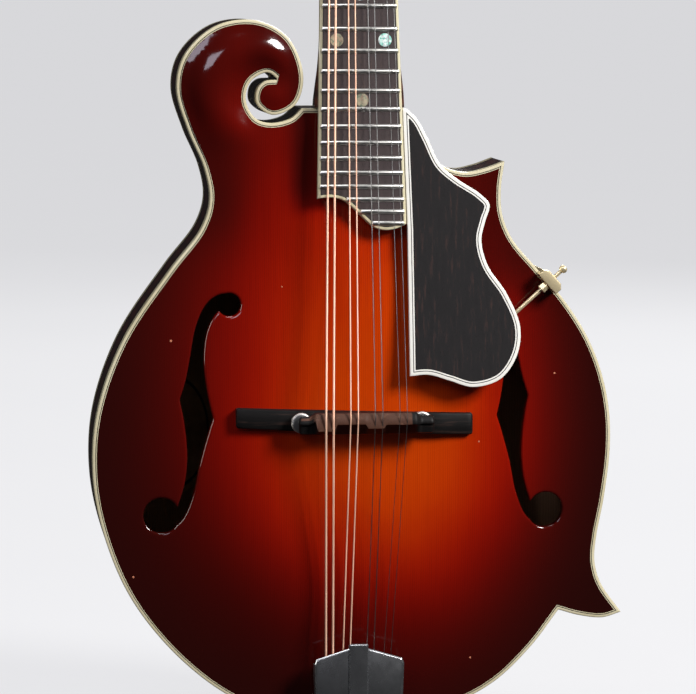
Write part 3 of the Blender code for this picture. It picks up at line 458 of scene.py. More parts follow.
def soft_levels(low, high, bevel):
    """Levels of a slab whose upper and lower edges are rounded."""
    turns = np.linspace(0, math.pi / 2, 4)
    under = [(low + bevel * (1 - math.sin(t)), bevel * (1 - math.cos(t))) for t in turns[::-1]]
    over = [(high - bevel * (1 - math.sin(t)), bevel * (1 - math.cos(t))) for t in turns]
    return under + over


# Materials

class Surface:
    """A material under construction. Each method adds a node and gives its main output."""

    def __init__(self, name):
        self.material = bpy.data.materials.new(name)
        self.material.use_nodes = True
        self.tree = self.material.node_tree
        self.shader = self.tree.nodes["Principled BSDF"]

    def add(self, kind, inputs=None, output=0, **settings):
        node = self.tree.nodes.new("ShaderNode" + kind)
        for key, value in settings.items():
            setattr(node, key, value)
        for key, value in (inputs or {}).items():
            self.feed(node.inputs[key], value)
        return node.outputs[output]

    def feed(self, target, value):
        if isinstance(value, bpy.types.NodeSocket):
            self.tree.links.new(value, target)
        elif target.type == "RGBA" and len(value) == 3:
            target.default_value = (*value, 1)
        else:
            target.default_value = value

    def place(self, stretch=(1, 1, 1), turn=(0, 0, 0)):
        """The point on the object in millimetres, stretched to suit a texture."""
        where = self.add("TexCoord", output="Object")
        where = self.add("Mapping", {"Vector": where, "Rotation": turn})
        scale = tuple(1000 * amount for amount in stretch)
        return self.add("Mapping", {"Vector": where, "Scale": scale})

    def along(self, stretch=(1, 1, 1)):
        """The unrolled point in millimetres, from the UV map."""
        return self.add("Mapping", {"Vector": self.add("TexCoord", output="UV"), "Scale": stretch})

    def textured(self, where):
        """The coordinates of a texture, given as such or as how the object's point is stretched."""
        return self.place(where) if isinstance(where, tuple) else where

    def noise(self, where, scale=1.0, detail=3.0, rough=0.5, bend=0.0):
        where = self.textured(where)
        inputs = {"Vector": where, "Scale": scale, "Detail": detail, "Roughness": rough, "Distortion": bend}
        return self.add("TexNoise", inputs)

    def waves(self, where, period, bend=0.0, detail=2.0, direction="X"):
        where = self.textured(where)
        inputs = {"Vector": where, "Scale": 2 * math.pi / (20 * period), "Distortion": bend, "Detail": detail}
        return self.add("TexWave", inputs, output=1, bands_direction=direction)

    def ramp(self, value, *stops):
        """Colours or greys along a value from 0 to 1."""
        node = self.tree.nodes.new("ShaderNodeValToRGB")
        self.feed(node.inputs[0], value)
        steps = node.color_ramp.elements
        for index, (at, colour) in enumerate(stops):
            if index >= len(steps):
                steps.new(at)
            steps[index].position = at
            colour = (colour,) * 3 if isinstance(colour, (int, float)) else colour
            steps[index].color = (*colour, 1)
        return node.outputs[0]

    def mix(self, share, a, b, how="MIX"):
        return self.add("MixRGB", {"Fac": share, "Color1": a, "Color2": b}, blend_type=how)

    def math(self, how, a, b):
        node = self.tree.nodes.new("ShaderNodeMath")
        node.operation = how
        self.feed(node.inputs[0], a)
        self.feed(node.inputs[1], b)
        return node.outputs[0]

    def bump(self, height, depth_mm, strength=1.0):
        """A bump whose full range is this deep."""
        return self.add("Bump", {"Height": height, "Distance": depth_mm * MM, "Strength": strength})

    def done(self, **inputs):
        for key, value in inputs.items():
            self.feed(self.shader.inputs[key.replace("_", " ")], value)
        return self.material


# The sunburst's middle, and how much of the way to the body's edge it reaches on each side
BURST_MIDDLE = np.array([19.0, -11.0])
BURST_SHARES = {"bass": 0.8, "treble": 0.75, "neck": 1.15, "tail": 0.82}
BURST_FALL = 3.6

# The stain at the burst's edge and in its middle, and how late each channel changes between them
STAIN_EDGE = (0.014, 0.0021, 0.0017)
STAIN_MIDDLE = (0.37, 0.037, 0.0006)
STAIN_BENDS = (1.1, 7.0, 2.0)
STAIN_STEPS = 30
GLOW = 0.07  # the red added in the middle itself
GLOW_BEND = 40


def stain(share):
    """The stain's colour, from the burst's edge at 0 to its middle at 1."""
    channels = zip(STAIN_EDGE, STAIN_MIDDLE, STAIN_BENDS)
    red, green, blue = (edge * (middle / edge) ** share ** bend for edge, middle, bend in channels)
    return red + GLOW * share ** GLOW_BEND, green, blue


def hump(value, middle, width):
    """A smooth rise to 1 at the middle and back."""
    return np.exp(-((value - middle) / width) ** 2)


def sunburst_with_board_shadow(points):
    """How bright the burst is at each point: 1 in the middle, towards 0 at the edge, with the fretboard's
    shadow painted in as a darker strip along its bass side.
    """
    low, high = BODY_LINE.min(axis=0), BODY_LINE.max(axis=0)
    bass, tail = (BURST_MIDDLE - low) * (BURST_SHARES["bass"], BURST_SHARES["tail"])
    treble, upper = (high - BURST_MIDDLE) * (BURST_SHARES["treble"], BURST_SHARES["neck"])
    x, y = points[:, 0], points[:, 1]
    u, v = x - BURST_MIDDLE[0], y - BURST_MIDDLE[1]
    reach = np.hypot(u / np.where(u < 0, bass, treble), v / np.where(v > 0, upper, tail))
    upper_treble = eased((y - 40) / 40) * eased((x - 35) / 20)
    bass_waist = hump(y, 103, 22) * eased((-48 - x) / 22)
    # Painted shadow of the fretboard: a darker strip along its bass side, towards the neck
    painted_board_shadow = eased((y - 92) / 20) * hump(x, -27, 7)
    scroll = eased((y - 128) / 15) * eased((-45 - x) / 15)
    burst = np.exp(-reach ** BURST_FALL)
    burst *= (1 - 0.42 * upper_treble) * (1 - 0.35 * bass_waist) * (1 - 0.45 * painted_board_shadow)
    return burst + 0.15 * scroll


def back_burst(points):
    """The back's burst: an oval round the middle of the lower body."""
    across = np.abs(points[:, 0]) / 95
    up = np.abs(points[:, 1] + 25) / 130
    return np.exp(-(across ** 2 + up ** 2) ** 1.5)


def lacquered_spruce():
    made = Surface("lacquered_spruce")
    # The burst attribute holds the stain, and beside the fretboard a painted shadow
    burst = made.add("Attribute", attribute_name="burst", output="Fac")
    drift = made.noise((0.02, 0.02, 0.012), detail=4)
    burst = made.math("ADD", burst, made.math("MULTIPLY", made.math("SUBTRACT", drift, 0.5), 0.07))
    colour = made.ramp(burst, *[(share, stain(share)) for share in np.linspace(0, 1, STAIN_STEPS)])
    rings = made.waves((1, 0.2, 0.012), 1.05, bend=2.5)
    streaks = made.noise((1.6, 0.3, 0.02), detail=5, rough=0.6)
    grain = made.math("ADD", made.math("MULTIPLY", rings, 0.55), made.math("MULTIPLY", streaks, 0.9))
    tone = made.ramp(grain, (0.25, (0.80, 0.76, 0.8)), (0.62, (1.0, 1.0, 1.0)), (1.0, (1.1, 1.2, 1.1)))
    shown = made.ramp(burst, (0.3, 0.15), (0.8, 1.0))
    colour = made.mix(shown, colour, tone, "MULTIPLY")
    peel = made.noise((0.25, 0.25, 0.25), detail=2)
    return made.done(Base_Color=colour, Roughness=0.5, Specular_IOR_Level=0.0, Coat_Weight=1.0,
                     Coat_Roughness=0.10, Coat_Normal=made.bump(peel, 0.05, 0.5),
                     Normal=made.bump(grain, 0.02, 0.3))


def flamed_maple(name, dark, bright, unrolled=False):
    """Stained maple with cross flames; the burst value runs from dark to bright."""
    made = Surface(name)
    where = made.along((1, 1, 1)) if unrolled else made.place((0.12, 0.3, 1))
    flame = made.waves(where, 7.5, bend=5.0, detail=3, direction="X" if unrolled else "Z")
    fine = made.noise((0.9, 0.9, 0.04), detail=5)
    figure = made.math("ADD", made.math("MULTIPLY", flame, 0.6), made.math("MULTIPLY", fine, 0.5))
    burst = made.add("Attribute", attribute_name="burst", output="Fac")
    colour = made.ramp(burst, (0.0, dark), (0.5, tuple(0.5 * (a + b) for a, b in zip(dark, bright))),
                       (1.0, bright))
    tone = made.ramp(figure, (0.2, 0.55), (0.6, 1.0), (1.0, 1.45))
    colour = made.mix(1.0, colour, tone, "MULTIPLY")
    return made.done(Base_Color=colour, Roughness=0.35, Specular_IOR_Level=0.3, Coat_Weight=1.0,
                     Coat_Roughness=0.04, Normal=made.bump(figure, 0.03, 0.3))


def ebony(name, base, streak, roughness=0.42, direction=(1.2, 1.2, 0.04), shine=0.15):
    """Near-black wood with brown streaks and open pores along the grain."""
    made = Surface(name)
    streaks = made.noise(direction, 0.5, detail=5, rough=0.65)
    pores = made.noise(tuple(4 * amount for amount in direction), 1.0, detail=2)
    pore_dents = made.ramp(pores, (0.30, 0.0), (0.40, 1.0))
    colour = made.ramp(streaks, (0.30, base), (0.55, base), (0.75, streak))
    colour = made.mix(made.ramp(pores, (0.30, 0.5), (0.42, 0.0)), colour, (0.004, 0.003, 0.003))
    rough = made.ramp(streaks, (0.3, roughness - 0.06), (0.7, roughness + 0.08))
    return made.done(Base_Color=colour, Roughness=rough, Specular_IOR_Level=shine,
                     Normal=made.bump(pore_dents, 0.04, 0.5))


def ivory(name, colour, warm):
    """Aged celluloid: fine grain lines and slightly uneven yellowing."""
    made = Surface(name)
    patches = made.noise((0.03, 0.03, 0.03), detail=4)
    lines = made.waves((1, 1, 1), 0.9, bend=6, direction="DIAGONAL")
    tone = made.mix(made.ramp(patches, (0.3, 0.0), (0.7, 1.0)), colour, warm)
    tone = made.mix(made.math("MULTIPLY", lines, 0.10), tone, tuple(0.8 * c for c in colour))
    return made.done(Base_Color=tone, Roughness=0.28, Subsurface_Weight=0.05,
                     Subsurface_Radius=(0.001, 0.001, 0.0006), Coat_Weight=0.5, Coat_Roughness=0.06)


def dark_line():
    made = Surface("dark_line")
    tone = made.ramp(made.noise((1, 1, 1), 0.3), (0.3, 0.010), (0.7, 0.022))
    return made.done(Base_Color=tone, Roughness=0.35, Coat_Weight=0.5, Coat_Roughness=0.06)


def metal(name, colour, roughness, scratch=(1.5, 1.5, 1.5), tarnish=0.25, gloss=1.0):
    """Polished or brushed metal with cloudy tarnish and hairline scratches."""
    made = Surface(name)
    clouds = made.noise((0.15, 0.15, 0.15), detail=5, rough=0.6)
    lines = made.noise(scratch, 1.0, detail=4, rough=0.7)
    tone = made.mix(made.ramp(clouds, (0.4, 0.0), (0.8, tarnish)), colour, tuple(0.55 * c for c in colour))
    rough = made.math("ADD", made.math("MULTIPLY", clouds, 0.18), roughness - 0.09)
    return made.done(Base_Color=tone, Metallic=gloss, Roughness=rough, Normal=made.bump(lines, 0.006, 0.35))


def wound_string(name, colour, period):
    """A string with its wrap wire showing as fine ribs."""
    made = Surface(name)
    ribs = made.waves(made.along((1, 1, 1)), period, direction="Y")
    worn = made.noise((0.1, 0.1, 0.03), detail=4)
    tone = made.mix(made.ramp(worn, (0.35, 0.0), (0.75, 0.5)), colour, tuple(0.5 * c for c in colour))
    return made.done(Base_Color=tone, Metallic=0.35, Roughness=0.4, Normal=made.bump(ribs, 0.06, 0.6))


def plain_string():
    made = Surface("plain_string")
    worn = made.noise((0.1, 0.1, 0.05), detail=4)
    tone = made.ramp(worn, (0.3, 0.30), (0.7, 0.48))
    return made.done(Base_Color=tone, Metallic=1.0, Roughness=0.3)


def bare_wood(name, pale, dark):
    """Unfinished wood of the inside: soft growth lines and a fuzzy surface."""
    made = Surface(name)
    lines = made.waves((1, 0.3, 0.02), 1.3, bend=3)
    patches = made.noise((0.05, 0.05, 0.02), detail=4)
    tone = made.mix(made.math("MULTIPLY", made.math("ADD", lines, patches), 0.5), pale, dark)
    return made.done(Base_Color=tone, Roughness=0.75, Normal=made.bump(lines, 0.06, 0.5))


def stained_neck():
    made = Surface("stained_neck")
    grain = made.noise((0.9, 0.9, 0.03), detail=6, rough=0.6)
    flame = made.waves((0.1, 0.3, 1), 6.0, bend=5, direction="Z")
    figure = made.math("ADD", made.math("MULTIPLY", grain, 0.6), made.math("MULTIPLY", flame, 0.4))
    colour = made.ramp(figure, (0.25, (0.022, 0.006, 0.004)), (0.55, (0.055, 0.014, 0.008)),
                       (0.85, (0.11, 0.03, 0.014)))
    return made.done(Base_Color=colour, Roughness=0.35, Coat_Weight=1.0, Coat_Roughness=0.05,
                     Normal=made.bump(figure, 0.03, 0.3))


def shell(name, base, tints, cell=1.1):
    """Cut shell: bright flakes that each catch their own colour."""
    made = Surface(name)
    bent = made.add("MixRGB", {"Fac": 0.35, "Color1": made.place((1, 1, 1)),
                               "Color2": made.add("TexNoise", {"Vector": made.place((1, 1, 1)), "Scale": 0.9},
                                                  output="Color")}, blend_type="ADD")
    flakes = made.add("TexVoronoi", {"Vector": bent, "Scale": 1 / cell}, output="Color")
    pick = made.add("SeparateColor", {"Color": flakes})
    stops = [(0.12 + 0.76 * i / (len(tints) - 1), tint) for i, tint in enumerate(tints)]
    tone = made.mix(0.75, base, made.ramp(pick, *stops))
    return made.done(Base_Color=tone, Roughness=0.22, Metallic=0.15, Coat_Weight=1.0, Coat_Roughness=0.04)


def bone():
    made = Surface("bone")
    specks = made.noise((2, 0.3, 2), detail=4)
    tone = made.ramp(specks, (0.3, (0.66, 0.60, 0.46)), (0.6, (0.80, 0.76, 0.63)))
    return made.done(Base_Color=tone, Roughness=0.34, Subsurface_Weight=0.1,
                     Subsurface_Radius=(0.001, 0.0008, 0.0005), Normal=made.bump(specks, 0.02, 0.4))


def aged_paper():
    made = Surface("aged_paper")
    stains = made.noise((0.05, 0.05, 0.05), detail=6, rough=0.6)
    fibres = made.noise((2, 2, 2), detail=3)
    tone = made.ramp(stains, (0.3, (0.20, 0.11, 0.05)), (0.6, (0.42, 0.27, 0.13)))
    return made.done(Base_Color=tone, Roughness=0.85, Normal=made.bump(fibres, 0.03, 0.4))


SPRUCE = lacquered_spruce()
MAPLE = flamed_maple("flamed_maple", (0.016, 0.0022, 0.0018), (0.17, 0.022, 0.004))
RIM_MAPLE = flamed_maple("rim_maple", (0.012, 0.0018, 0.0015), (0.055, 0.006, 0.003), unrolled=True)
BARE_SPRUCE = bare_wood("bare_spruce", (0.42, 0.27, 0.13), (0.28, 0.16, 0.07))
BARE_MAPLE = bare_wood("bare_maple", (0.34, 0.20, 0.10), (0.24, 0.13, 0.06))
CHIPPED = bare_wood("chipped_lacquer", (0.52, 0.19, 0.10), (0.40, 0.12, 0.06))
NECK_WOOD = stained_neck()
BOARD_WOOD = ebony("board_ebony", (0.052, 0.040, 0.040), (0.075, 0.052, 0.046), 0.45)
GUARD_WOOD = ebony("guard_ebony", (0.0125, 0.0115, 0.012), (0.040, 0.021, 0.018), 0.5)
BRIDGE_WOOD = ebony("bridge_ebony", (0.005, 0.0045, 0.0045), (0.035, 0.018, 0.014), 0.5, (0.05, 0.6, 1.0))
# Lighter brown of the saddle's slope: partly wear, partly a painted highlight where the slope faces the lamp
# above
WORN_AND_LIT_EBONY = ebony("worn_and_lit_ebony", (0.070, 0.031, 0.020), (0.20, 0.10, 0.068), 0.55, (0.35, 0.8, 0.8))
PEGHEAD_WOOD = ebony("peghead_ebony", (0.010, 0.009, 0.009), (0.022, 0.014, 0.011), 0.25)
IVORY = ivory("ivory_binding", (0.62, 0.57, 0.40), (0.52, 0.46, 0.29))
WHITE = ivory("white_binding", (0.78, 0.77, 0.73), (0.72, 0.70, 0.64))
DARK_LINE = dark_line()
BONE = bone()
NICKEL = metal("nickel", (0.66, 0.65, 0.62), 0.20)
DULL_NICKEL = metal("dull_nickel", (0.50, 0.48, 0.45), 0.36, gloss=0.9)
STEEL = metal("steel", (0.62, 0.62, 0.62), 0.28)
FRET_METAL = metal("fret_metal", (0.80, 0.79, 0.76), 0.30)
LID_METAL = metal("lid_nickel", (0.39, 0.40, 0.42), 0.27, gloss=0.95)
GOLD = metal("gold_plate", (1.0, 0.84, 0.52), 0.30, gloss=0.7)
BRONZE = wound_string("bronze_wound", (1.0, 0.60, 0.42), 0.35)
PLAIN = plain_string()
# The brighter shell: partly its own teal, partly a near-white painted highlight of the shell's flash
ABALONE_PAINTED_FLASH = shell("abalone_painted_flash", (0.62, 0.88, 0.80), [(0.10, 0.60, 0.45), (0.60, 1.0, 0.88), (0.95, 1.0, 0.96),
                                               (0.45, 0.35, 0.45), (0.10, 0.45, 0.40)])
DULL_ABALONE = shell("dull_abalone", (0.36, 0.30, 0.22),
                     [(0.12, 0.18, 0.13), (0.45, 0.40, 0.28), (0.30, 0.20, 0.15)])
PEARLOID = shell("pearloid", (0.72, 0.70, 0.64),
                 [(0.55, 0.53, 0.48), (0.82, 0.80, 0.75), (0.70, 0.66, 0.60)], 2.2)
PAPER = aged_paper()


# Body

PLATE_INSET = 2.15  # just inside the binding's inner edge
HOLE_ROUNDING = 0.5
HOLE_RINGS = (0.25, 0.6, 1.2)
TOP_LINES = [(2.2, -BINDING_DEPTH), (0, -BINDING_DEPTH), (0, -0.9), (0.08, -0.45), (0.28, -0.14), (0.65, 0),
             (1.42, 0), (1.82, 0), (2.2, 0)]
LINE_PAINT = [0, 0, 0, 0, 0, 0, 1, 0, 0]


def f_holes():
    """The loops of both f-holes: for each a stem and two round eyes."""
    shapes = [through(F_HOLE_STEM)] + [circle(x, y, radius, 60) for x, y, radius in F_HOLE_EYES]
    return shapes + [mirrored(shape, F_HOLE_MIRROR) for shape in shapes]


def outside_all(points, holes, margin):
    """Which points stand clear of every hole by a margin."""
    clear = np.ones(len(points), bool)
    for hole in holes:
        low, high = hole.min(axis=0) - margin, hole.max(axis=0) + margin
        near = np.flatnonzero(((points > low) & (points < high)).all(axis=1) & clear)
        if len(near):
            bad = inside(points[near], hole) | (to_loop(points[near], hole) < margin)
            clear[near[bad]] = False
    return clear


def from_holes(points, holes):
    """The distance from each point to the nearest hole's edge, up to the widest ring."""
    nearest = np.full(len(points), HOLE_RINGS[-1])
    for hole in holes:
        low, high = hole.min(axis=0) - 2, hole.max(axis=0) + 2
        near = np.flatnonzero(((points > low) & (points < high)).all(axis=1))
        if len(near):
            nearest[near] = np.minimum(nearest[near], to_loop(points[near], hole))
    return nearest


def carved_plate(piece, field, side, holes=()):
    """A plate meshed inside the binding and round its holes, and given its arch and thickness."""
    edge = inset(BODY_LINE, PLATE_INSET)
    loops = [edge, *holes]
    points, edges = [], []
    for loop in loops:
        start = len(points)
        points.extend(loop)
        edges.extend((start + i, start + (i + 1) % len(loop)) for i in range(len(loop)))
    for hole in holes:
        for reach in HOLE_RINGS:
            ring, _ = moved_in(hole, -reach)
            points.extend(ring[outside_all(ring, holes, 0.98 * reach)])
    grid = GRID[GRID_DEPTH > PLATE_INSET + 0.8 * GRID_STEP]
    points.extend(grid[outside_all(grid, holes, HOLE_RINGS[-1] + 0.6)])
    flat, _, faces, *_ = delaunay_2d_cdt([Vector(point) for point in points], edges, [], 0, 1e-5)
    flat = np.array([tuple(point) for point in flat])
    faces = np.array([tuple(face) for face in faces])
    middles = flat[faces].mean(axis=1)
    faces = faces[inside(middles, edge) & outside_all(middles, holes, 0)]
    rise = height_at(field, flat)
    crown = rise - HOLE_ROUNDING * (1 - from_holes(flat, holes) / HOLE_RINGS[-1]) ** 3
    outer = np.column_stack([flat, crown if side > 0 else -BODY_DEPTH - crown])
    inner = np.column_stack([flat, outer[:, 2] - side * PLATE_THICKNESS])
    count = len(flat)
    ends = np.sort(np.vstack([faces[:, [0, 1]], faces[:, [1, 2]], faces[:, [2, 0]]]), axis=1)
    pairs, uses = np.unique(ends, axis=0, return_counts=True)
    walls = [(a, b, b + count, a + count) for a, b in pairs[uses == 1]]
    piece.triangles([tuple(point) for point in np.vstack([outer, inner])],
                    [tuple(face) for face in faces] + [tuple(face + count) for face in faces] + walls,
                    [0] * len(faces) + [1] * len(faces) + [0] * len(walls))


def body():
    top = Piece()
    carved_plate(top, TOP_GRID, 1, f_holes())
    # The top's burst values include the fretboard's painted shadow
    top.finish("carved_top", "root", [SPRUCE, BARE_SPRUCE], ["top_plate"], shade=sunburst_with_board_shadow)
    back = Piece()
    carved_plate(back, BACK_GRID, -1)
    back.finish("carved_back", "root", [MAPLE, BARE_MAPLE], ["back_plate"],
                shade=back_burst)

    rim = Piece()
    low, high = BINDING_DEPTH - BODY_DEPTH, -BINDING_DEPTH
    steps = [(0.02, low + (high - low) * share) for share in np.linspace(0, 1, 9)]
    rim.band(BODY_LINE, steps + [(2.3, high), (2.3, low)])
    middle = (low + high) / 2
    rim.finish("rim_wood", "root", RIM_MAPLE, ["rim"],
               shade=lambda points: np.exp(-((points[:, 2] - middle) / 11) ** 2))

    edge = Piece()
    edge.band(BODY_LINE, TOP_LINES, LINE_PAINT)
    edge.finish("top_edge_binding", "root", [IVORY, DARK_LINE], ["top_binding"])
    edge = Piece()
    edge.band(BODY_LINE, [(distance, -BODY_DEPTH - height) for distance, height in TOP_LINES], LINE_PAINT)
    edge.finish("back_edge_binding", "root", [IVORY, DARK_LINE], ["back_binding"])


LABEL_PLACE = (-87.0, -14.0)
LABEL_HALVES = (19.5, 31.0)
PAPER_THICKNESS = 0.2


def label():
    """A blank oval paper label with a ruled border, glued inside the back under the bass f-hole."""
    turns = np.linspace(0, 2 * math.pi, 64, endpoint=False)

    def ring(share, lift):
        spots = np.column_stack([np.cos(turns), np.sin(turns)]) * LABEL_HALVES * share + LABEL_PLACE
        bottom = -BODY_DEPTH - height_at(BACK_GRID, spots) + PLATE_THICKNESS + 0.05
        return [(*spot, z + lift) for spot, z in zip(spots, bottom)]

    shares = [0.02, 0.2, 0.4, 0.6, 0.86, 0.91, 1.0]
    paper = Piece()
    under = [ring(share, 0) for share in shares]
    over = [ring(share, PAPER_THICKNESS) for share in reversed(shares)]
    paper.rings(under + over, [0] * 7 + [0, 1, 0, 0, 0, 0])
    paper.finish("paper_label", "root", [PAPER, DARK_LINE])


# x, y and radius
CHIPS = [(-91.3, 35.8, 0.55), (-110, -79, 0.5), (55, -122, 0.5), (57.5, -14, 0.4), (96, 18, 0.45),
         (-38, 62, 0.35)]


def lacquer_chips():
    """Tiny pale spots where the lacquer has flaked off the top."""
    draw = np.random.default_rng(7)
    flakes = Piece()
    for x, y, size in CHIPS:
        loop = circle(x, y, size, 9)
        loop = loop + draw.uniform(-0.3, 0.3, loop.shape) * size
        base = float(height_at(TOP_GRID, [(x, y)])[0])
        flakes.slab(loop, [(base - 0.15, 0), (base + 0.05, 0), (base + 0.09, 0.1)])
    flakes.finish("lacquer_chips", "root", CHIPPED)


# Neck and peghead

# y, width beyond the fretboard, depth, and how full the section is
NECK_STATIONS = [(147.8, 1.6, 41.5, 0.72), (151, 1.6, 40, 0.75), (155, 1.5, 35, 0.8), (160, 1.2, 28, 0.85),
                 (167, 0.6, 21, 0.9), (178, 0, 17, 0.95), (200, 0, 15.6, 0.95), (270, 0, 14.7, 0.95),
                 (345, 0, 13.8, 0.95)]
# The same in the head frame, with the half-width in full
HEAD_STATIONS = [(1.0, 15.2, 12.2, 0.75), (5, 15.8, 12.2, 0.55), (10, 16.6, 12.1, 0.4), (16, 18.6, 12.0, 0.3)]
HEAD_LINE = through(PEGHEAD)
HEAD_BACK = -14.3
VENEER = 2.0


def board_half_width(distance):
    return NUT_HALF_WIDTH + BOARD_FLARE * (SCALE_LENGTH - distance)


def board_bottom(y):
    """The height of the fretboard's underside in the face frame."""
    along = FRET_PLANE_HEIGHT - y * math.tan(NECK_TILT)
    return along - (FRET_HEIGHT + BOARD_THICKNESS) / math.cos(NECK_TILT)


def neck_ring(y, half_width, top, depth, fullness):
    """A section of the neck: flat on top, with a rounded back."""
    turns = np.linspace(0, math.pi, 33)
    across = np.sign(np.cos(turns)) * np.abs(np.cos(turns)) ** fullness
    return [(half_width * x, y, top - depth * math.sin(turn) ** fullness) for x, turn in zip(across, turns)]


def neck():
    wood = Piece()
    rings = []
    for y, extra, depth, fullness in run_through(NECK_STATIONS)[::2]:
        rings.append(neck_ring(y, board_half_width(y) + extra, board_bottom(y), depth, fullness))
    for y, half_width, depth, fullness in HEAD_STATIONS:
        ring = neck_ring(y, half_width, -VENEER, depth, fullness)
        rings.append([HEAD_IN_FACE @ Vector(point) for point in ring])
    wood.rings(rings)
    rounding = [(0, 1.2), (0.3, 0.5), (0.9, 0.12), (1.5, 0)]
    levels = [(HEAD_BACK + height, distance) for height, distance in rounding] + [(-VENEER, 0)]
    wood.slab(HEAD_LINE, levels, turn=HEAD_IN_FACE)
    wood.finish("neck_wood", "root", NECK_WOOD, ["neck"])

    face = Piece(HEAD)
    face.slab(offset_ring(HEAD_LINE, 2.3), [(-VENEER, 0), (-0.02, 0)])
    face.finish("peghead_veneer", "root", PEGHEAD_WOOD, ["headstock_overlay"])
    edge = Piece(HEAD)
    profile = [(0, -VENEER), (0, -0.5), (0.12, -0.14), (0.5, 0), (1.4, 0), (1.8, 0), (2.3, 0), (2.3, -VENEER)]
    edge.band(HEAD_LINE, profile, [0, 0, 0, 0, 1, 0, 0, 0])
    edge.finish("peghead_binding", "root", [IVORY, DARK_LINE], ["headstock_binding"])
    truss_cover()


COVER = [(-8, 2.2, SHARP), (8, 2.2, SHARP), (9.5, 14), (6, 24), (0, 32, SHARP), (-6, 24), (-9.5, 14)]
COVER_SCREWS = [(-6, 5), (6, 5), (0, 27)]


def truss_cover():
    """The bell-shaped cover with a white edge and three screws, over the hexagonal adjuster."""
    line = through(COVER)
    cover = Piece(HEAD)
    cover.slab(offset_ring(line, 0.9), [(0.05, 0), (2.05, 0), (2.3, 0.3)])
    cover.band(line, [(0, 0.05), (0, 1.8), (0.15, 2.1), (0.9, 2.2), (0.9, 0.05)], 1)
    for x, y in COVER_SCREWS:
        cover.lathe([(0, 2.2), (1.5, 2.2), (1.5, 2.45), (1.2, 2.7), (0, 2.85)], Matrix.Translation((x, y, 0)),
                    20, 2)
    cover.finish("truss_cover", "root", [PEGHEAD_WOOD, WHITE, NICKEL], ["truss_rod_cover"])
    adjuster = Piece(HEAD)
    turn = Matrix.Translation((0, 13, -4.2)) @ ACROSS
    profile = [(1.6, -2), (1.6, -5), (3.6, -5), (3.9, -4.7), (3.9, 4.7), (3.6, 5), (2.0, 5), (2.0, 2)]
    adjuster.lathe(profile, turn, 6)
    adjuster.finish("truss_adjuster", "truss_nut", GOLD, ["truss_rod_nut"])


# Fretboard

DOT_RADIUS = 3.2
# x, the fret above it, and which shell: 0 the one with the painted flash, 1 the dull one
DOTS = [(-11.1, 12, 1), (12.2, 12, 0), (0.7, 15, 1), (0.4, 10, 0), (0.3, 7, 1), (0.2, 5, 0), (0.1, 3, 1)]
CROWN = 1.15  # half a fret's width


def fret_distance(number):
    """From the bridge line to a fret, along the strings."""
    return SCALE_LENGTH * 2 ** (-number / 12)


def fret_span(y, line):
    """Where a fret crosses the fretboard, between the middles of its bindings."""
    across = np.arange(-24, 24, 0.1)
    held = across[inside([(x, y) for x in across], line)]
    return (held.min(), held.max()) if len(held) else None


def fretboard():
    nut_end = [(side * NUT_HALF_WIDTH, SCALE_LENGTH, SHARP) for side in (-1, 1)]
    line = through(BOARD_END + nut_end)
    low, high = -BOARD_THICKNESS - FRET_HEIGHT, -FRET_HEIGHT
    board = Piece(NECK)
    board.slab(offset_ring(line, BOARD_BINDING), [(low, 0), (high, 0)])
    board.finish("fretboard_wood", "root", BOARD_WOOD, ["fretboard"])
    edge = Piece(NECK)
    edge.band(line, [(0, low), (0, high - 0.4), (0.12, high - 0.12), (0.4, high), (1.3, high),
                     (BOARD_BINDING, high), (BOARD_BINDING, low)], [0, 0, 0, 0, 1, 0, 0])
    edge.finish("fretboard_edge", "root", [IVORY, DARK_LINE], ["fretboard_binding"])

    wires = Piece(NECK)
    held = offset_ring(line, 0.75)
    for number in range(1, FRET_COUNT + 1):
        y = fret_distance(number)
        span = fret_span(y, held)
        if span is None or span[1] - span[0] < 3:
            continue
        ring = [(CROWN * math.cos(t), FRET_HEIGHT * math.sin(t)) for t in np.linspace(0, math.pi, 9)]
        ends = [(span[0], 0.15), (span[0] + 0.25, 0.8), (span[0] + 0.7, 1.0)]
        ends += [(span[1] - 0.7, 1.0), (span[1] - 0.25, 0.8), (span[1], 0.15)]
        wires.rings([[(x, y + u, high + h * tall) for u, h in ring] for x, tall in ends])
    wires.finish("fret_wires", "root", FRET_METAL, ["frets"], crease=50)

    dots = Piece(NECK)
    for x, fret, shade in DOTS:
        y = (fret_distance(fret) + fret_distance(fret - 1)) / 2
        dots.slab(circle(x, y, DOT_RADIUS), [(high - 0.6, 0), (high + 0.02, 0), (high + 0.04, 0.1)], shade)
    dots.finish("position_dots", "root", [ABALONE_PAINTED_FLASH, DULL_ABALONE])
    nut()


def nut():
    """The bone nut: crowned towards the peghead, with a notch for each string."""
    stations = []
    tops = {}
    for index, (_, gauge) in enumerate(STRINGS):
        middle = course_x(index, *AT_NUT)
        tops[middle] = gauge
    for x in np.linspace(-NUT_HALF_WIDTH, NUT_HALF_WIDTH, 151):
        near = min(tops, key=lambda middle: abs(middle - x))
        notch = tops[near] * 0.5 * max(0.0, 1 - ((x - near) / (0.6 * tops[near] + 0.1)) ** 2)
        shoulder = max(0.0, abs(x) - NUT_HALF_WIDTH + 0.8) ** 2 * 0.8
        stations.append((x, 0.95 - notch - shoulder))
    bone_piece = Piece(NECK)
    near, far = SCALE_LENGTH + 0.05, SCALE_LENGTH + NUT_THICKNESS
    bone_piece.rings([[(x, near, -5.4), (x, near, top - 0.2), (x, near + 0.25, top), (x, near + 1.6, top),
                       (x, far - 0.7, top - 0.5), (x, far - 0.1, top - 1.5), (x, far, -5.4)]
                      for x, top in stations])
    bone_piece.finish("bone_nut", "root", BONE, ["nut"], crease=50)


# Strings and tuners

TAIL_COURSES = (-15.4, -7.4, 4.2, 12.3)


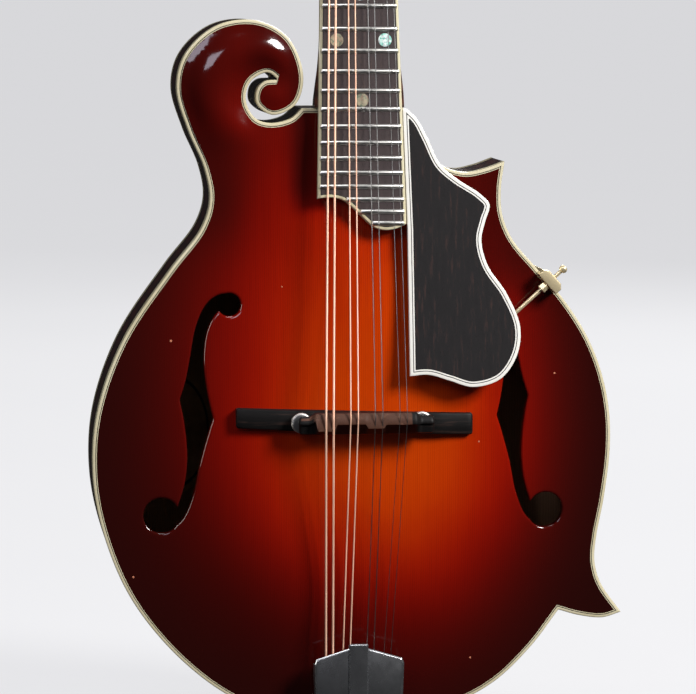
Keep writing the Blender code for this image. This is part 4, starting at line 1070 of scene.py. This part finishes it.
def tail_x(index):
    course, second = divmod(index, 2)
    return TAIL_COURSES[course] + (second - 0.5) * AT_TAIL_PAIR


def course_x(index, spread, pair, centre):
    """The place of a string when four pairs share one line."""
    course, second = divmod(index, 2)
    return centre + (course - 1.5) * spread + (second - 0.5) * pair


WRAPS = 3
WRAP_RADIUS = 3.0


def strings():
    """Each string runs from a loop on its peg over the saddle and nut, and round its post."""
    for index, (name, gauge) in enumerate(STRINGS):
        radius = gauge / 2
        side = -1 if index < 4 else 1
        post_y = POST_Y[index if index < 4 else 7 - index]
        tail = Vector((tail_x(index), PEG_Y + 1.2, 9))
        saddle = Vector((course_x(index, *AT_SADDLE), 0, SADDLE_HIGH + 0.1 + radius))
        nut_top = NECK_IN_FACE @ Vector((course_x(index, *AT_NUT), SCALE_LENGTH + 1.2, 0.55 + radius))
        path = [tail.lerp(saddle, share) for share in np.linspace(0, 0.97, 12)]
        path += [saddle + Vector((0, -1.0, -0.12)), saddle, saddle + Vector((0, 1.0, -0.05))]
        path += [saddle.lerp(nut_top, share) for share in np.linspace(0.02, 1, 24)]
        wrap = WRAP_RADIUS + radius + 0.05
        for step in range(WRAPS * 16):
            turn = 2 * math.pi * step / 16
            around = (side * (POST_X - wrap * math.cos(turn)), post_y + wrap * math.sin(turn),
                      4.4 + turn / (2 * math.pi) * (gauge + 0.12))
            path.append(HEAD_IN_FACE @ Vector(around))
        wire = Piece()
        wire.tube(path, radius, 10)
        loop = [(tail.x + 1.35 * math.sin(t), PEG_Y - 0.15 - 1.35 * math.cos(t), 9 - 0.3 * math.cos(t))
                for t in np.linspace(0.25 * math.pi, 1.75 * math.pi, 22)]
        twist = [(tail.x + 0.35 * math.sin(t * 1.7), tail.y + 0.2 + t * 0.5, 9 + 0.35 * math.cos(t * 1.7))
                 for t in np.linspace(0, 12, 60)]
        wire.tube(loop, 0.22, 8, 1)
        wire.tube(twist, 0.2, 6, 1)
        wound = index < 4
        wire.finish(f"wire_{name}", "root", [BRONZE if wound else PLAIN, PLAIN],
                    [f"string_{name}"], crease=60)


GEAR_TEETH = 14
# Heights along the button, and its reach at each
BUTTON = [(-19.0, 1.3), (-19.6, 2.6), (-21, 4.2), (-23, 5.5), (-26, 6.4), (-30, 6.6), (-33, 5.6),
          (-34.3, 3.4)]


def tuner_key(name, side, y):
    """The worm, its shaft, and a flat-sided pearloid button."""
    key = Piece(HEAD)
    turn = Matrix.Translation((side * POST_X, y - WORM_OFFSET, WORM_Z))
    turn = turn @ Matrix.Rotation(-side * math.pi / 2, 4, "Y")
    threads = [(1.45 + 0.75 * (0.5 + 0.5 * math.cos(3.4 * h)), h) for h in np.linspace(4, -4, 48)]
    key.lathe([(1.3, 8), (1.3, 4.1)] + threads + [(1.3, -4.1), (1.3, -19.4)], turn, 24)
    sections = []
    for height, reach in run_through(BUTTON):
        flat = min(reach, 3.3)
        ring = []
        for t in np.arange(32) * math.pi / 16:
            x = math.copysign(abs(math.cos(t)) ** 0.85, math.cos(t)) * flat
            z = math.copysign(abs(math.sin(t)) ** 0.85, math.sin(t)) * reach
            ring.append((x, z, height))
        sections.append(ring)
    key.rings(sections, 1, turn=turn)
    key.lathe([(1.3, -18.6), (2.4, -18.7), (2.4, -19.4), (1.3, -19.6)], turn, 20)
    key.finish(f"key_{name}_shaft", f"key_{name}", [NICKEL, PEARLOID], [f"tuner_{name}"])


def tuner_post(name, side, y):
    """The string post with its waist, a dark disc painted on each side where the cross hole's shade would
    show, and the toothed wheel that turns it.
    """
    post = Piece(HEAD)
    turn = Matrix.Translation((side * POST_X, y, 0))
    waist = [(3.0, 2.0), (3.0, 4.0), (2.75, 5.2), (2.6, 7), (2.75, 8.8), (3.0, 9.4), (3.0, 11.8)]
    post.lathe([(3.0, -15.9)] + waist + [(2.8, 12.5), (2.2, 12.9), (0, 13)], turn)
    # Painted shade: the cross hole is a thin dark disc on each side of the post, not a hole
    for way in (-1, 1):
        hole = turn @ Matrix.Translation((way * 2.93, 0, 10.4)) @ ALONG_X
        post.lathe([(0, -0.12), (0.75, -0.1), (0.75, 0.1), (0, 0.12)], hole, 16, 1)

    def teeth(turns):
        return 0.92 + 0.08 * np.clip(2.2 * np.cos(GEAR_TEETH * turns), -1, 1)

    post.lathe([(0, -16.2), (4.7, -16.2), (5.0, -16.5), (5.0, -19.2), (4.7, -19.5), (0, -19.5)], turn,
               GEAR_TEETH * 8, 2, teeth)
    post.lathe([(0, -19.5), (2.2, -19.5), (2.2, -20.0), (1.6, -20.5), (0, -20.6)], turn, 24)
    post.finish(f"peg_{name}_post", f"peg_{name}", [NICKEL, DARK_LINE, GOLD], [f"post_{name}"])


BUSHING = [(3.1, -0.2), (5.2, -0.2), (5.2, 0.6), (4.9, 0.95), (4.2, 1.1), (3.9, 1.6), (3.1, 1.6)]


def tuners():
    """A plate on each side of the peghead, with its four keys and posts, and the posts' bushings."""
    bushings = Piece(HEAD)
    for side, label in ((-1, "bass"), (1, "treble")):
        plate = Piece(HEAD)
        x0, x1 = sorted((side * 14.0, side * 31.8))
        low, high = POST_Y[0] - 14, POST_Y[-1] + 9
        plate.slab(rounded_box(x0, x1, low, high, 3), soft_levels(-15.8, -14.5, 0.35))
        for number, y in enumerate(POST_Y):
            name = STRINGS[number if side < 0 else 7 - number][0]
            tuner_key(name, side, y)
            tuner_post(name, side, y)
            for inner, outer in ((14.0, 15.4), (30.4, 31.8)):
                e0, e1 = sorted((side * inner, side * outer))
                lug = rounded_box(y - WORM_OFFSET - 3.2, y - WORM_OFFSET + 3.2, -21, -15.2, 1.6)
                plate.slab(lug, soft_levels(e0, e1, 0.25), turn=UPRIGHT)
            washer = Matrix.Translation((side * POST_X, y, 0))
            bushings.lathe(BUSHING, washer)
        for y in (low + 4, high - 3.5):
            screw = Matrix.Translation((side * 19.5, y, -15.7))
            plate.lathe([(0, -0.8), (1.2, -0.7), (1.8, -0.2), (1.8, 0.2)], screw, 20)
        plate.finish(f"tuner_strip_{label}", "root", NICKEL, [f"tuner_plate_{label}"])
    bushings.finish("post_bushings", "root", NICKEL)


# Bridge

STUD_Y = -2.7
BASE_FRONT, BASE_REAR = 2.1, -8.3
BASE_SLANT = -0.032
BASE_REACH = (60.0, 54.8)


def base_top(x):
    """The base's upper line: low rounded ends, flats under the wheels, and a rise between them."""
    left, right = BRIDGE_X - BASE_REACH[0], BRIDGE_X + BASE_REACH[1]
    inner = [(38, 15.8), (21, 15.9), (15, 17)]
    line = [(left, 13.8), (left + 9, 14.9)] + [(BRIDGE_X - away, z) for away, z in inner]
    line += [(BRIDGE_X + away, z) for away, z in reversed(inner)] + [(right - 9, 14.9), (right, 13.8)]
    return float(np.interp(x, *zip(*line)))


def bridge_base():
    """A long foot fitted to the arched top, softened at its edges, with two threaded studs."""
    base = Piece()
    left, right = BRIDGE_X - BASE_REACH[0], BRIDGE_X + BASE_REACH[1]
    rings = []
    for x in np.concatenate([[left, left + 0.3, left + 1.0], np.linspace(left + 3, right - 3, 60),
                             [right - 1.0, right - 0.3, right]]):
        end = min(x - left, right - x)
        shrink = 1.0 - math.sqrt(max(0.0, 1 - (1 - min(end, 1.0)) ** 2))
        shift = (x - BRIDGE_X) * BASE_SLANT
        thin = 0.8 * eased((-20 - x) / 40)
        y0, y1 = BASE_REAR + shrink + shift + thin, BASE_FRONT - shrink + shift
        top = base_top(x) - shrink
        relief = 1.0 * eased((16 - abs(x - BRIDGE_X)) / 6)
        low = [float(v) + 0.02 + relief for v in height_at(TOP_GRID, [(x, y0), (x, y1)])]
        r = 0.9
        rings.append([(x, y0, low[0]), (x, y0, top - r), (x, y0 + 0.25, top - 0.3), (x, y0 + r, top),
                      (x, y1 - r, top), (x, y1 - 0.25, top - 0.3), (x, y1, top - r), (x, y1, low[1])])
    base.rings(rings)
    for side in (-1, 1):
        at = Matrix.Translation((BRIDGE_X + side * STUD_X, STUD_Y, 0))
        thread = [(1.55 + 0.15 * math.cos(2 * math.pi * h / 0.7), h) for h in np.arange(15.5, STUD_TOP, 0.14)]
        base.lathe([(0, 15.5)] + thread + [(0, STUD_TOP)], at, 20, 1)
    base.finish("bridge_foot", "root", [BRIDGE_WOOD, NICKEL], ["bridge_base"], crease=40)


SADDLE_ENDS = (-31.4, 33.8)
# Where each step of the saddle's crest starts, and its y
RIDGES = [(-40, -0.6), (-23.5, -5.7), (-14.2, -2.5), (0.8, -4.6), (9.5, -2.8)]
# x range where the saddle's slope is painted lighter brown: partly wear, partly a painted highlight
WORN_AND_LIT_SPAN = (-30.5, 22.5)
WHEEL = [(1.95, -0.3), (4.0, -0.3), (4.7, -0.55), (5.0, -0.9), (5.0, -2.1), (4.6, -2.4), (1.95, -2.4)]


def ridge_line(x):
    """Where the saddle's crest runs: set back under the first and third pairs."""
    value = RIDGES[0][1]
    for (start, place), (_, previous) in zip(RIDGES[1:], RIDGES):
        value += (place - previous) * float(eased((x - start + 0.8) / 1.6))
    return value


def saddle():
    """The saddle: a slope that faces the neck, a stepped crest, and a steep back. The slope is painted
    lighter brown, partly as wear and partly as painted light from the lamp above.
    """
    top = Piece()
    left, right = SADDLE_ENDS
    rings = []
    for x in np.concatenate([[left, left + 0.25, left + 0.8], np.linspace(left + 1.6, right - 1.6, 150),
                             [right - 0.8, right - 0.25, right]]):
        end = min(x - left, right - x)
        shrink = 1.2 * (1.0 - math.sqrt(max(0.0, 1 - (1 - min(end / 1.6, 1.0)) ** 2)))
        shoulder = float(eased((27.5 - abs(x - 0.6)) / 4.0))
        crest = SADDLE_HIGH - 2.6 * (1 - shoulder) - shrink
        front, back = 2.4 - shrink - 1.8 * (1 - shoulder), -8.0 + shrink
        y = ridge_line(x) * shoulder + -2.8 * (1 - shoulder)
        slope = front - y
        behind = min(SADDLE_LOW + 2.6, crest - 1.9)
        rings.append([(x, back, SADDLE_LOW), (x, back, behind - 1.0), (x, back + 0.5, behind),
                      (x, y - 0.9, crest - 1.2), (x, y - 0.3, crest - 0.15), (x, y + 0.3, crest),
                      (x, y + 0.5 * slope, crest - 0.45), (x, front - 0.6, crest - 1.5),
                      (x, front, crest - 2.2), (x, front, SADDLE_LOW)])
    top.rings(rings)
    # Slope faces in that range take the lighter brown: partly wear, partly painted light where the slope
    # faces upwards
    for face in top.shape.faces:
        middle = face.calc_center_median()
        on_slope = middle.z > SADDLE_LOW + 2.4 and middle.y > ridge_line(middle.x) - 0.1
        if on_slope and WORN_AND_LIT_SPAN[0] < middle.x < WORN_AND_LIT_SPAN[1]:
            face.material_index = 1
    top.finish("bridge_top", "saddle", [BRIDGE_WOOD, WORN_AND_LIT_EBONY], ["bridge_saddle"], crease=38)

    def knurls(turns):
        return 0.985 + 0.015 * np.sign(np.sin(40 * turns))

    for side, label in ((-1, "bass"), (1, "treble")):
        wheel = Piece()
        at = Matrix.Translation((BRIDGE_X + side * STUD_X, STUD_Y, SADDLE_LOW))
        wheel.lathe(WHEEL, at, 160, [1] + [0] * len(WHEEL[1:]), knurls)
        wheel.finish(f"wheel_{label}", f"{label}_wheel", [DULL_NICKEL, STEEL],
                     [f"thumbwheel_{label}"])


# Tailpiece

COVER_PLAN = [(-20.4, -2.5), (20.4, -2.5), (21.6, 20), (21.9, 29.2), (20.9, 31.6), (5.6, 36.2), (4.2, 36.6),
              (-5.1, 36.6), (-6.2, 36.2), (-20.9, 31.6), (-21.9, 29.2), (-21.6, 20)]
TAIL_PLATE = (4.6, 5.8)
TAIL_SIDES = (-20, 17.4)
LID_ROOF = 6.4
LID_WALL = 1.1


def dense(loop, step=1.0):
    """A polygon with points added along its sides."""
    result = []
    for a, b in zip(loop, loop[1:] + loop[:1]):
        count = max(1, round(math.dist(a, b) / step))
        result += [(a[0] + (b[0] - a[0]) * i / count, a[1] + (b[1] - a[1]) * i / count) for i in range(count)]
    return np.array(result)


def tailpiece():
    """A bent plate with pegs, screws and hinge ears, and a cast lid with bevels and a raised rib."""
    low, high = TAIL_PLATE
    wall = TAIL_Y - 0.3
    plate = Piece()
    plate.slab(rounded_box(*TAIL_SIDES, wall - 1.0, -122, 0.8), soft_levels(low, high, 0.3))
    drop = Matrix.Translation((0, wall, 0)) @ ACROSS
    plate.slab(rounded_box(*TAIL_SIDES, -31, high - 0.1, 2.5), soft_levels(0, 1.2, 0.3), turn=drop)
    for index, (_, gauge) in enumerate(STRINGS):
        x, y = tail_x(index), PEG_Y - gauge / 2
        plate.lathe([(0.8, high - 0.4), (0.8, 9.6), (1.05, 10.0), (1.05, 10.3), (0.6, 10.6), (0, 10.65)],
                    Matrix.Translation((x, y, 0)), 16)
    for x in (-17.6, 15.0):
        ear = rounded_box(HINGE_PLACE[1] - 2, HINGE_PLACE[1] + 2, high - 0.4, HINGE_PLACE[2] + 2, 1.2)
        plate.slab(ear, soft_levels(x - 0.9, x + 0.9, 0.2), turn=UPRIGHT)
    for x, z in ((-13, -10), (10, -10), (-1.3, -16)):
        screw = Matrix.Translation((x, wall - 1.1, z)) @ ACROSS
        plate.lathe([(2.2, 0), (2.2, 0.3), (1.6, 0.9), (0, 1.2)], screw, 24)
    plate.finish("tailpiece_plate", "root", NICKEL, ["tailpiece_base"])

    lid = Piece(HINGE)
    roof = LID_ROOF
    lid.slab(dense(COVER_PLAN), [(roof - 1.7, 0), (roof - 0.7, 0.05), (roof - 0.15, 0.55), (roof, 0.9)])
    for side in (-1, 1):
        run = run_through([(side * 20.4, -2.5), (side * 21.6, 20), (side * 21.85, 28.4)])
        inward = -side * LID_WALL
        lid.rings([[(x, y, -2), (x + inward, y, -2), (x + inward, y, roof - 0.5), (x, y, roof - 1.0)]
                   for x, y in np.vstack([run[::4], run[-1:]])])
    rib = dense([(-5.2, -1.8), (4.3, -1.8), (4.3, 38.3), (3.8, 38.8), (-4.7, 38.8), (-5.2, 38.3)], 0.5)
    lid.slab(rib, [(roof - 1.9, 0), (roof + 0.35, 0.1), (roof + 0.75, 0.5), (roof + 0.8, 0.9)])
    lid.finish("tailpiece_lid_cast", "lid", LID_METAL, ["tailpiece_cover"], crease=25)
    pin = Piece(HINGE)
    pin.lathe([(0, -21.5), (0.7, -21.5), (1.0, -21.2), (1.0, 21.2), (0.7, 21.5), (0, 21.5)], ALONG_X, 20)
    pin.finish("lid_pin", "root", STEEL, ["tailpiece_hinge_pin"])


KNOB = [(0, 0), (4.2, 0.05), (5.6, 0.5), (6.2, 2.0), (5.4, 3.9), (3.9, 5.6), (3.4, 8), (4.2, 9.5),
        (4.6, 10.0)]
KNOB_HEIGHT = 11.8


def strap_button():
    """The turned button at the tail, with its peg in the tail block."""
    knob = Piece()
    turn = Matrix.Translation((0, TAIL_Y - KNOB_HEIGHT, -BODY_DEPTH / 2))
    turn = turn @ Matrix.Rotation(-math.pi / 2, 4, "X")
    knob.lathe([tuple(point) for point in run_through(KNOB)] + [(4.6, 10.1), (2.5, 10.2), (2.5, 27)], turn)
    knob.finish("end_button", "root", IVORY, ["strap_button"])


# Pickguard and its clamp

def pickguard():
    """The raised guard, with a white edge and a dark line in it."""
    line = through(PICKGUARD)
    low, high = -4.6, -1.8
    wood = Piece(NECK)
    wood.slab(offset_ring(line, 2.6), [(low, 0), (high, 0)])
    wood.finish("guard_wood", "root", GUARD_WOOD, ["pickguard"])
    edge = Piece(NECK)
    profile = [(0, low), (0, high - 0.3), (0.1, high - 0.08), (0.35, high), (1.55, high), (1.95, high),
               (2.6, high), (2.6, low)]
    edge.band(line, profile, [0, 0, 0, 0, 1, 0, 0, 0])
    edge.finish("guard_edge", "root", [WHITE, DARK_LINE])


JAW_PLAN = [(-0.2, -6.4), (2.8, -6.4), (4.6, -4.2), (4.6, 4.2), (2.8, 6.4), (-0.2, 6.4), (-0.7, 5.6),
            (-0.7, -5.6)]
ROD = [(0, -31), (0.95, -30.9), (0.95, 8.8), (1.5, 9.0), (2.0, 9.8), (2.0, 10.8), (1.4, 11.7), (0, 12.0)]
COLLAR = [(0.95, -4.6), (2.0, -4.5), (2.3, -4.1), (2.3, -1.5), (2.0, -1.1), (0.95, -1.0)]


def clamp():
    """The gilt jaw on the rim, and the rod that reaches from it to the pickguard."""
    below = -BODY_DEPTH
    hook = [(3.1, 0.7), (3.1, below - 0.7), (-2, below - 0.7), (-2, below - 2.2), (5.0, below - 2.2),
            (5.0, 1.5)]
    jaw = Piece(HOLDER)
    jaw.slab(dense(hook), soft_levels(-2.2, 2.2, 0.4), turn=ACROSS)
    jaw.slab(dense(JAW_PLAN), soft_levels(0.7, 8.6, 0.6))
    jaw.finish("guard_jaw", "root", GOLD, ["pickguard_clamp"], crease=28)
    rod = Piece(HOLDER)
    out = Matrix.Translation((0, 0, ROD_Z)) @ ALONG_X
    rod.lathe(ROD, out, 24)
    rod.lathe(COLLAR, out, 6)
    foot = rounded_box(-32.5, -28.5, -2.5, 2.5, 1.2)
    _, y, turn = CLAMP
    foot_y = y - 31 * math.sin(turn)
    underside = FRET_PLANE_HEIGHT - foot_y * math.tan(NECK_TILT) - 5.0
    rod.slab(foot, soft_levels(ROD_Z - 1.4, underside, 0.3))
    rod.finish("guard_rod", "root", GOLD, ["pickguard_rod"])


def inner_wood():
    """The CAD solids inside the body keep their shapes and get a bare-wood finish."""
    plain = {"top_lining": BARE_SPRUCE, "back_lining": BARE_SPRUCE, "bass_tone_bar": BARE_SPRUCE,
             "treble_tone_bar": BARE_SPRUCE, "neck_block": BARE_MAPLE, "tail_block": BARE_MAPLE,
             "upper_point_block": BARE_MAPLE, "lower_point_block": BARE_MAPLE, "truss_rod": STEEL}
    for name, surface in plain.items():
        for holder in frame["nodes"][name].material_slots:
            holder.material = surface


# Stage

def aimed(item, place, target):
    """The item linked to the scene at a place, with its -z towards the target."""
    bpy.context.scene.collection.objects.link(item)
    item.location = place
    item.rotation_euler = (Vector(target) - Vector(place)).to_track_quat("-Z", "Y").to_euler()
    return item


EYE = (-0.2097, -1.75725, 0.3707)
LOOK = (-0.00525, -0.02225, 0.1958)
LENS = 187.3


def camera():
    data = bpy.data.cameras.new("camera")
    data.lens = LENS
    data.sensor_width = 36
    data.clip_end = 400
    bpy.context.scene.camera = aimed(bpy.data.objects.new("camera", data), EYE, LOOK)


def softbox(name, direction, distance, size, power, colour):
    """A rectangular soft light aimed at the middle of the body."""
    data = bpy.data.lights.new(name, "AREA")
    data.shape = "RECTANGLE"
    data.size, data.size_y = size
    data.energy = power
    data.color = colour
    target = Vector((0, FRONT_Y, 0.2))
    place = target + Vector(direction).normalized() * distance
    aimed(bpy.data.objects.new(name, data), place, target)


def floor():
    made = Surface("floor")
    mottle = made.noise((0.002, 0.002, 0.002), detail=3)
    tone = made.ramp(mottle, (0.3, 0.125), (0.7, 0.135))
    surface = made.done(Base_Color=tone, Roughness=0.9, Specular_IOR_Level=0.1,
                        Emission_Color=(0.97, 0.97, 1.0), Emission_Strength=0.70)
    shape = bmesh.new()
    bmesh.ops.create_grid(shape, x_segments=2, y_segments=2, size=180)
    mesh = bpy.data.meshes.new("floor")
    shape.to_mesh(mesh)
    shape.free()
    mesh.materials.append(surface)
    made = bpy.data.objects.new("floor", mesh)
    bpy.context.scene.collection.objects.link(made)
    made.visible_glossy = False
    made.visible_diffuse = False


def world():
    """Pale to the camera, soft to matt surfaces, and dark in reflections."""
    made = bpy.data.worlds.new("studio")
    bpy.context.scene.world = made
    made.use_nodes = True
    tree = made.node_tree
    back = tree.nodes["Background"]
    path = tree.nodes.new("ShaderNodeLightPath")
    shine = tree.nodes.new("ShaderNodeMix")
    shine.inputs[2].default_value = 0.05
    shine.inputs[3].default_value = 0.012
    tree.links.new(path.outputs["Is Glossy Ray"], shine.inputs[0])
    seen = tree.nodes.new("ShaderNodeMix")
    seen.inputs[3].default_value = 0.62
    tree.links.new(path.outputs["Is Camera Ray"], seen.inputs[0])
    tree.links.new(shine.outputs[0], seen.inputs[2])
    tree.links.new(seen.outputs[0], back.inputs["Strength"])
    back.inputs["Color"].default_value = (0.98, 0.98, 1, 1)


body()
label()
lacquer_chips()
inner_wood()
neck()
fretboard()
strings()
tuners()
bridge_base()
saddle()
tailpiece()
strap_button()
pickguard()
clamp()
camera()
softbox("key", (0.64, -0.56, 0.53), 2.2, (0.55, 0.75), 82, (1.0, 0.985, 0.97))
softbox("fill", (-0.45, -0.75, 0.48), 2.4, (0.75, 0.75), 11, (0.86, 0.85, 1.0))
softbox("edge", (-0.95, -0.2, 0.25), 2.6, (0.5, 1.2), 14, (1.0, 0.99, 0.93))
softbox("rear", (0.35, 0.8, 0.5), 2.6, (1.2, 1.2), 40, (1.0, 1.0, 1.0))
softbox("top", (-0.15, -0.22, 1.0), 2.2, (1.1, 0.7), 16, (0.98, 0.99, 1.0))
floor()
world()
bpy.context.scene.view_settings.view_transform = "Standard"
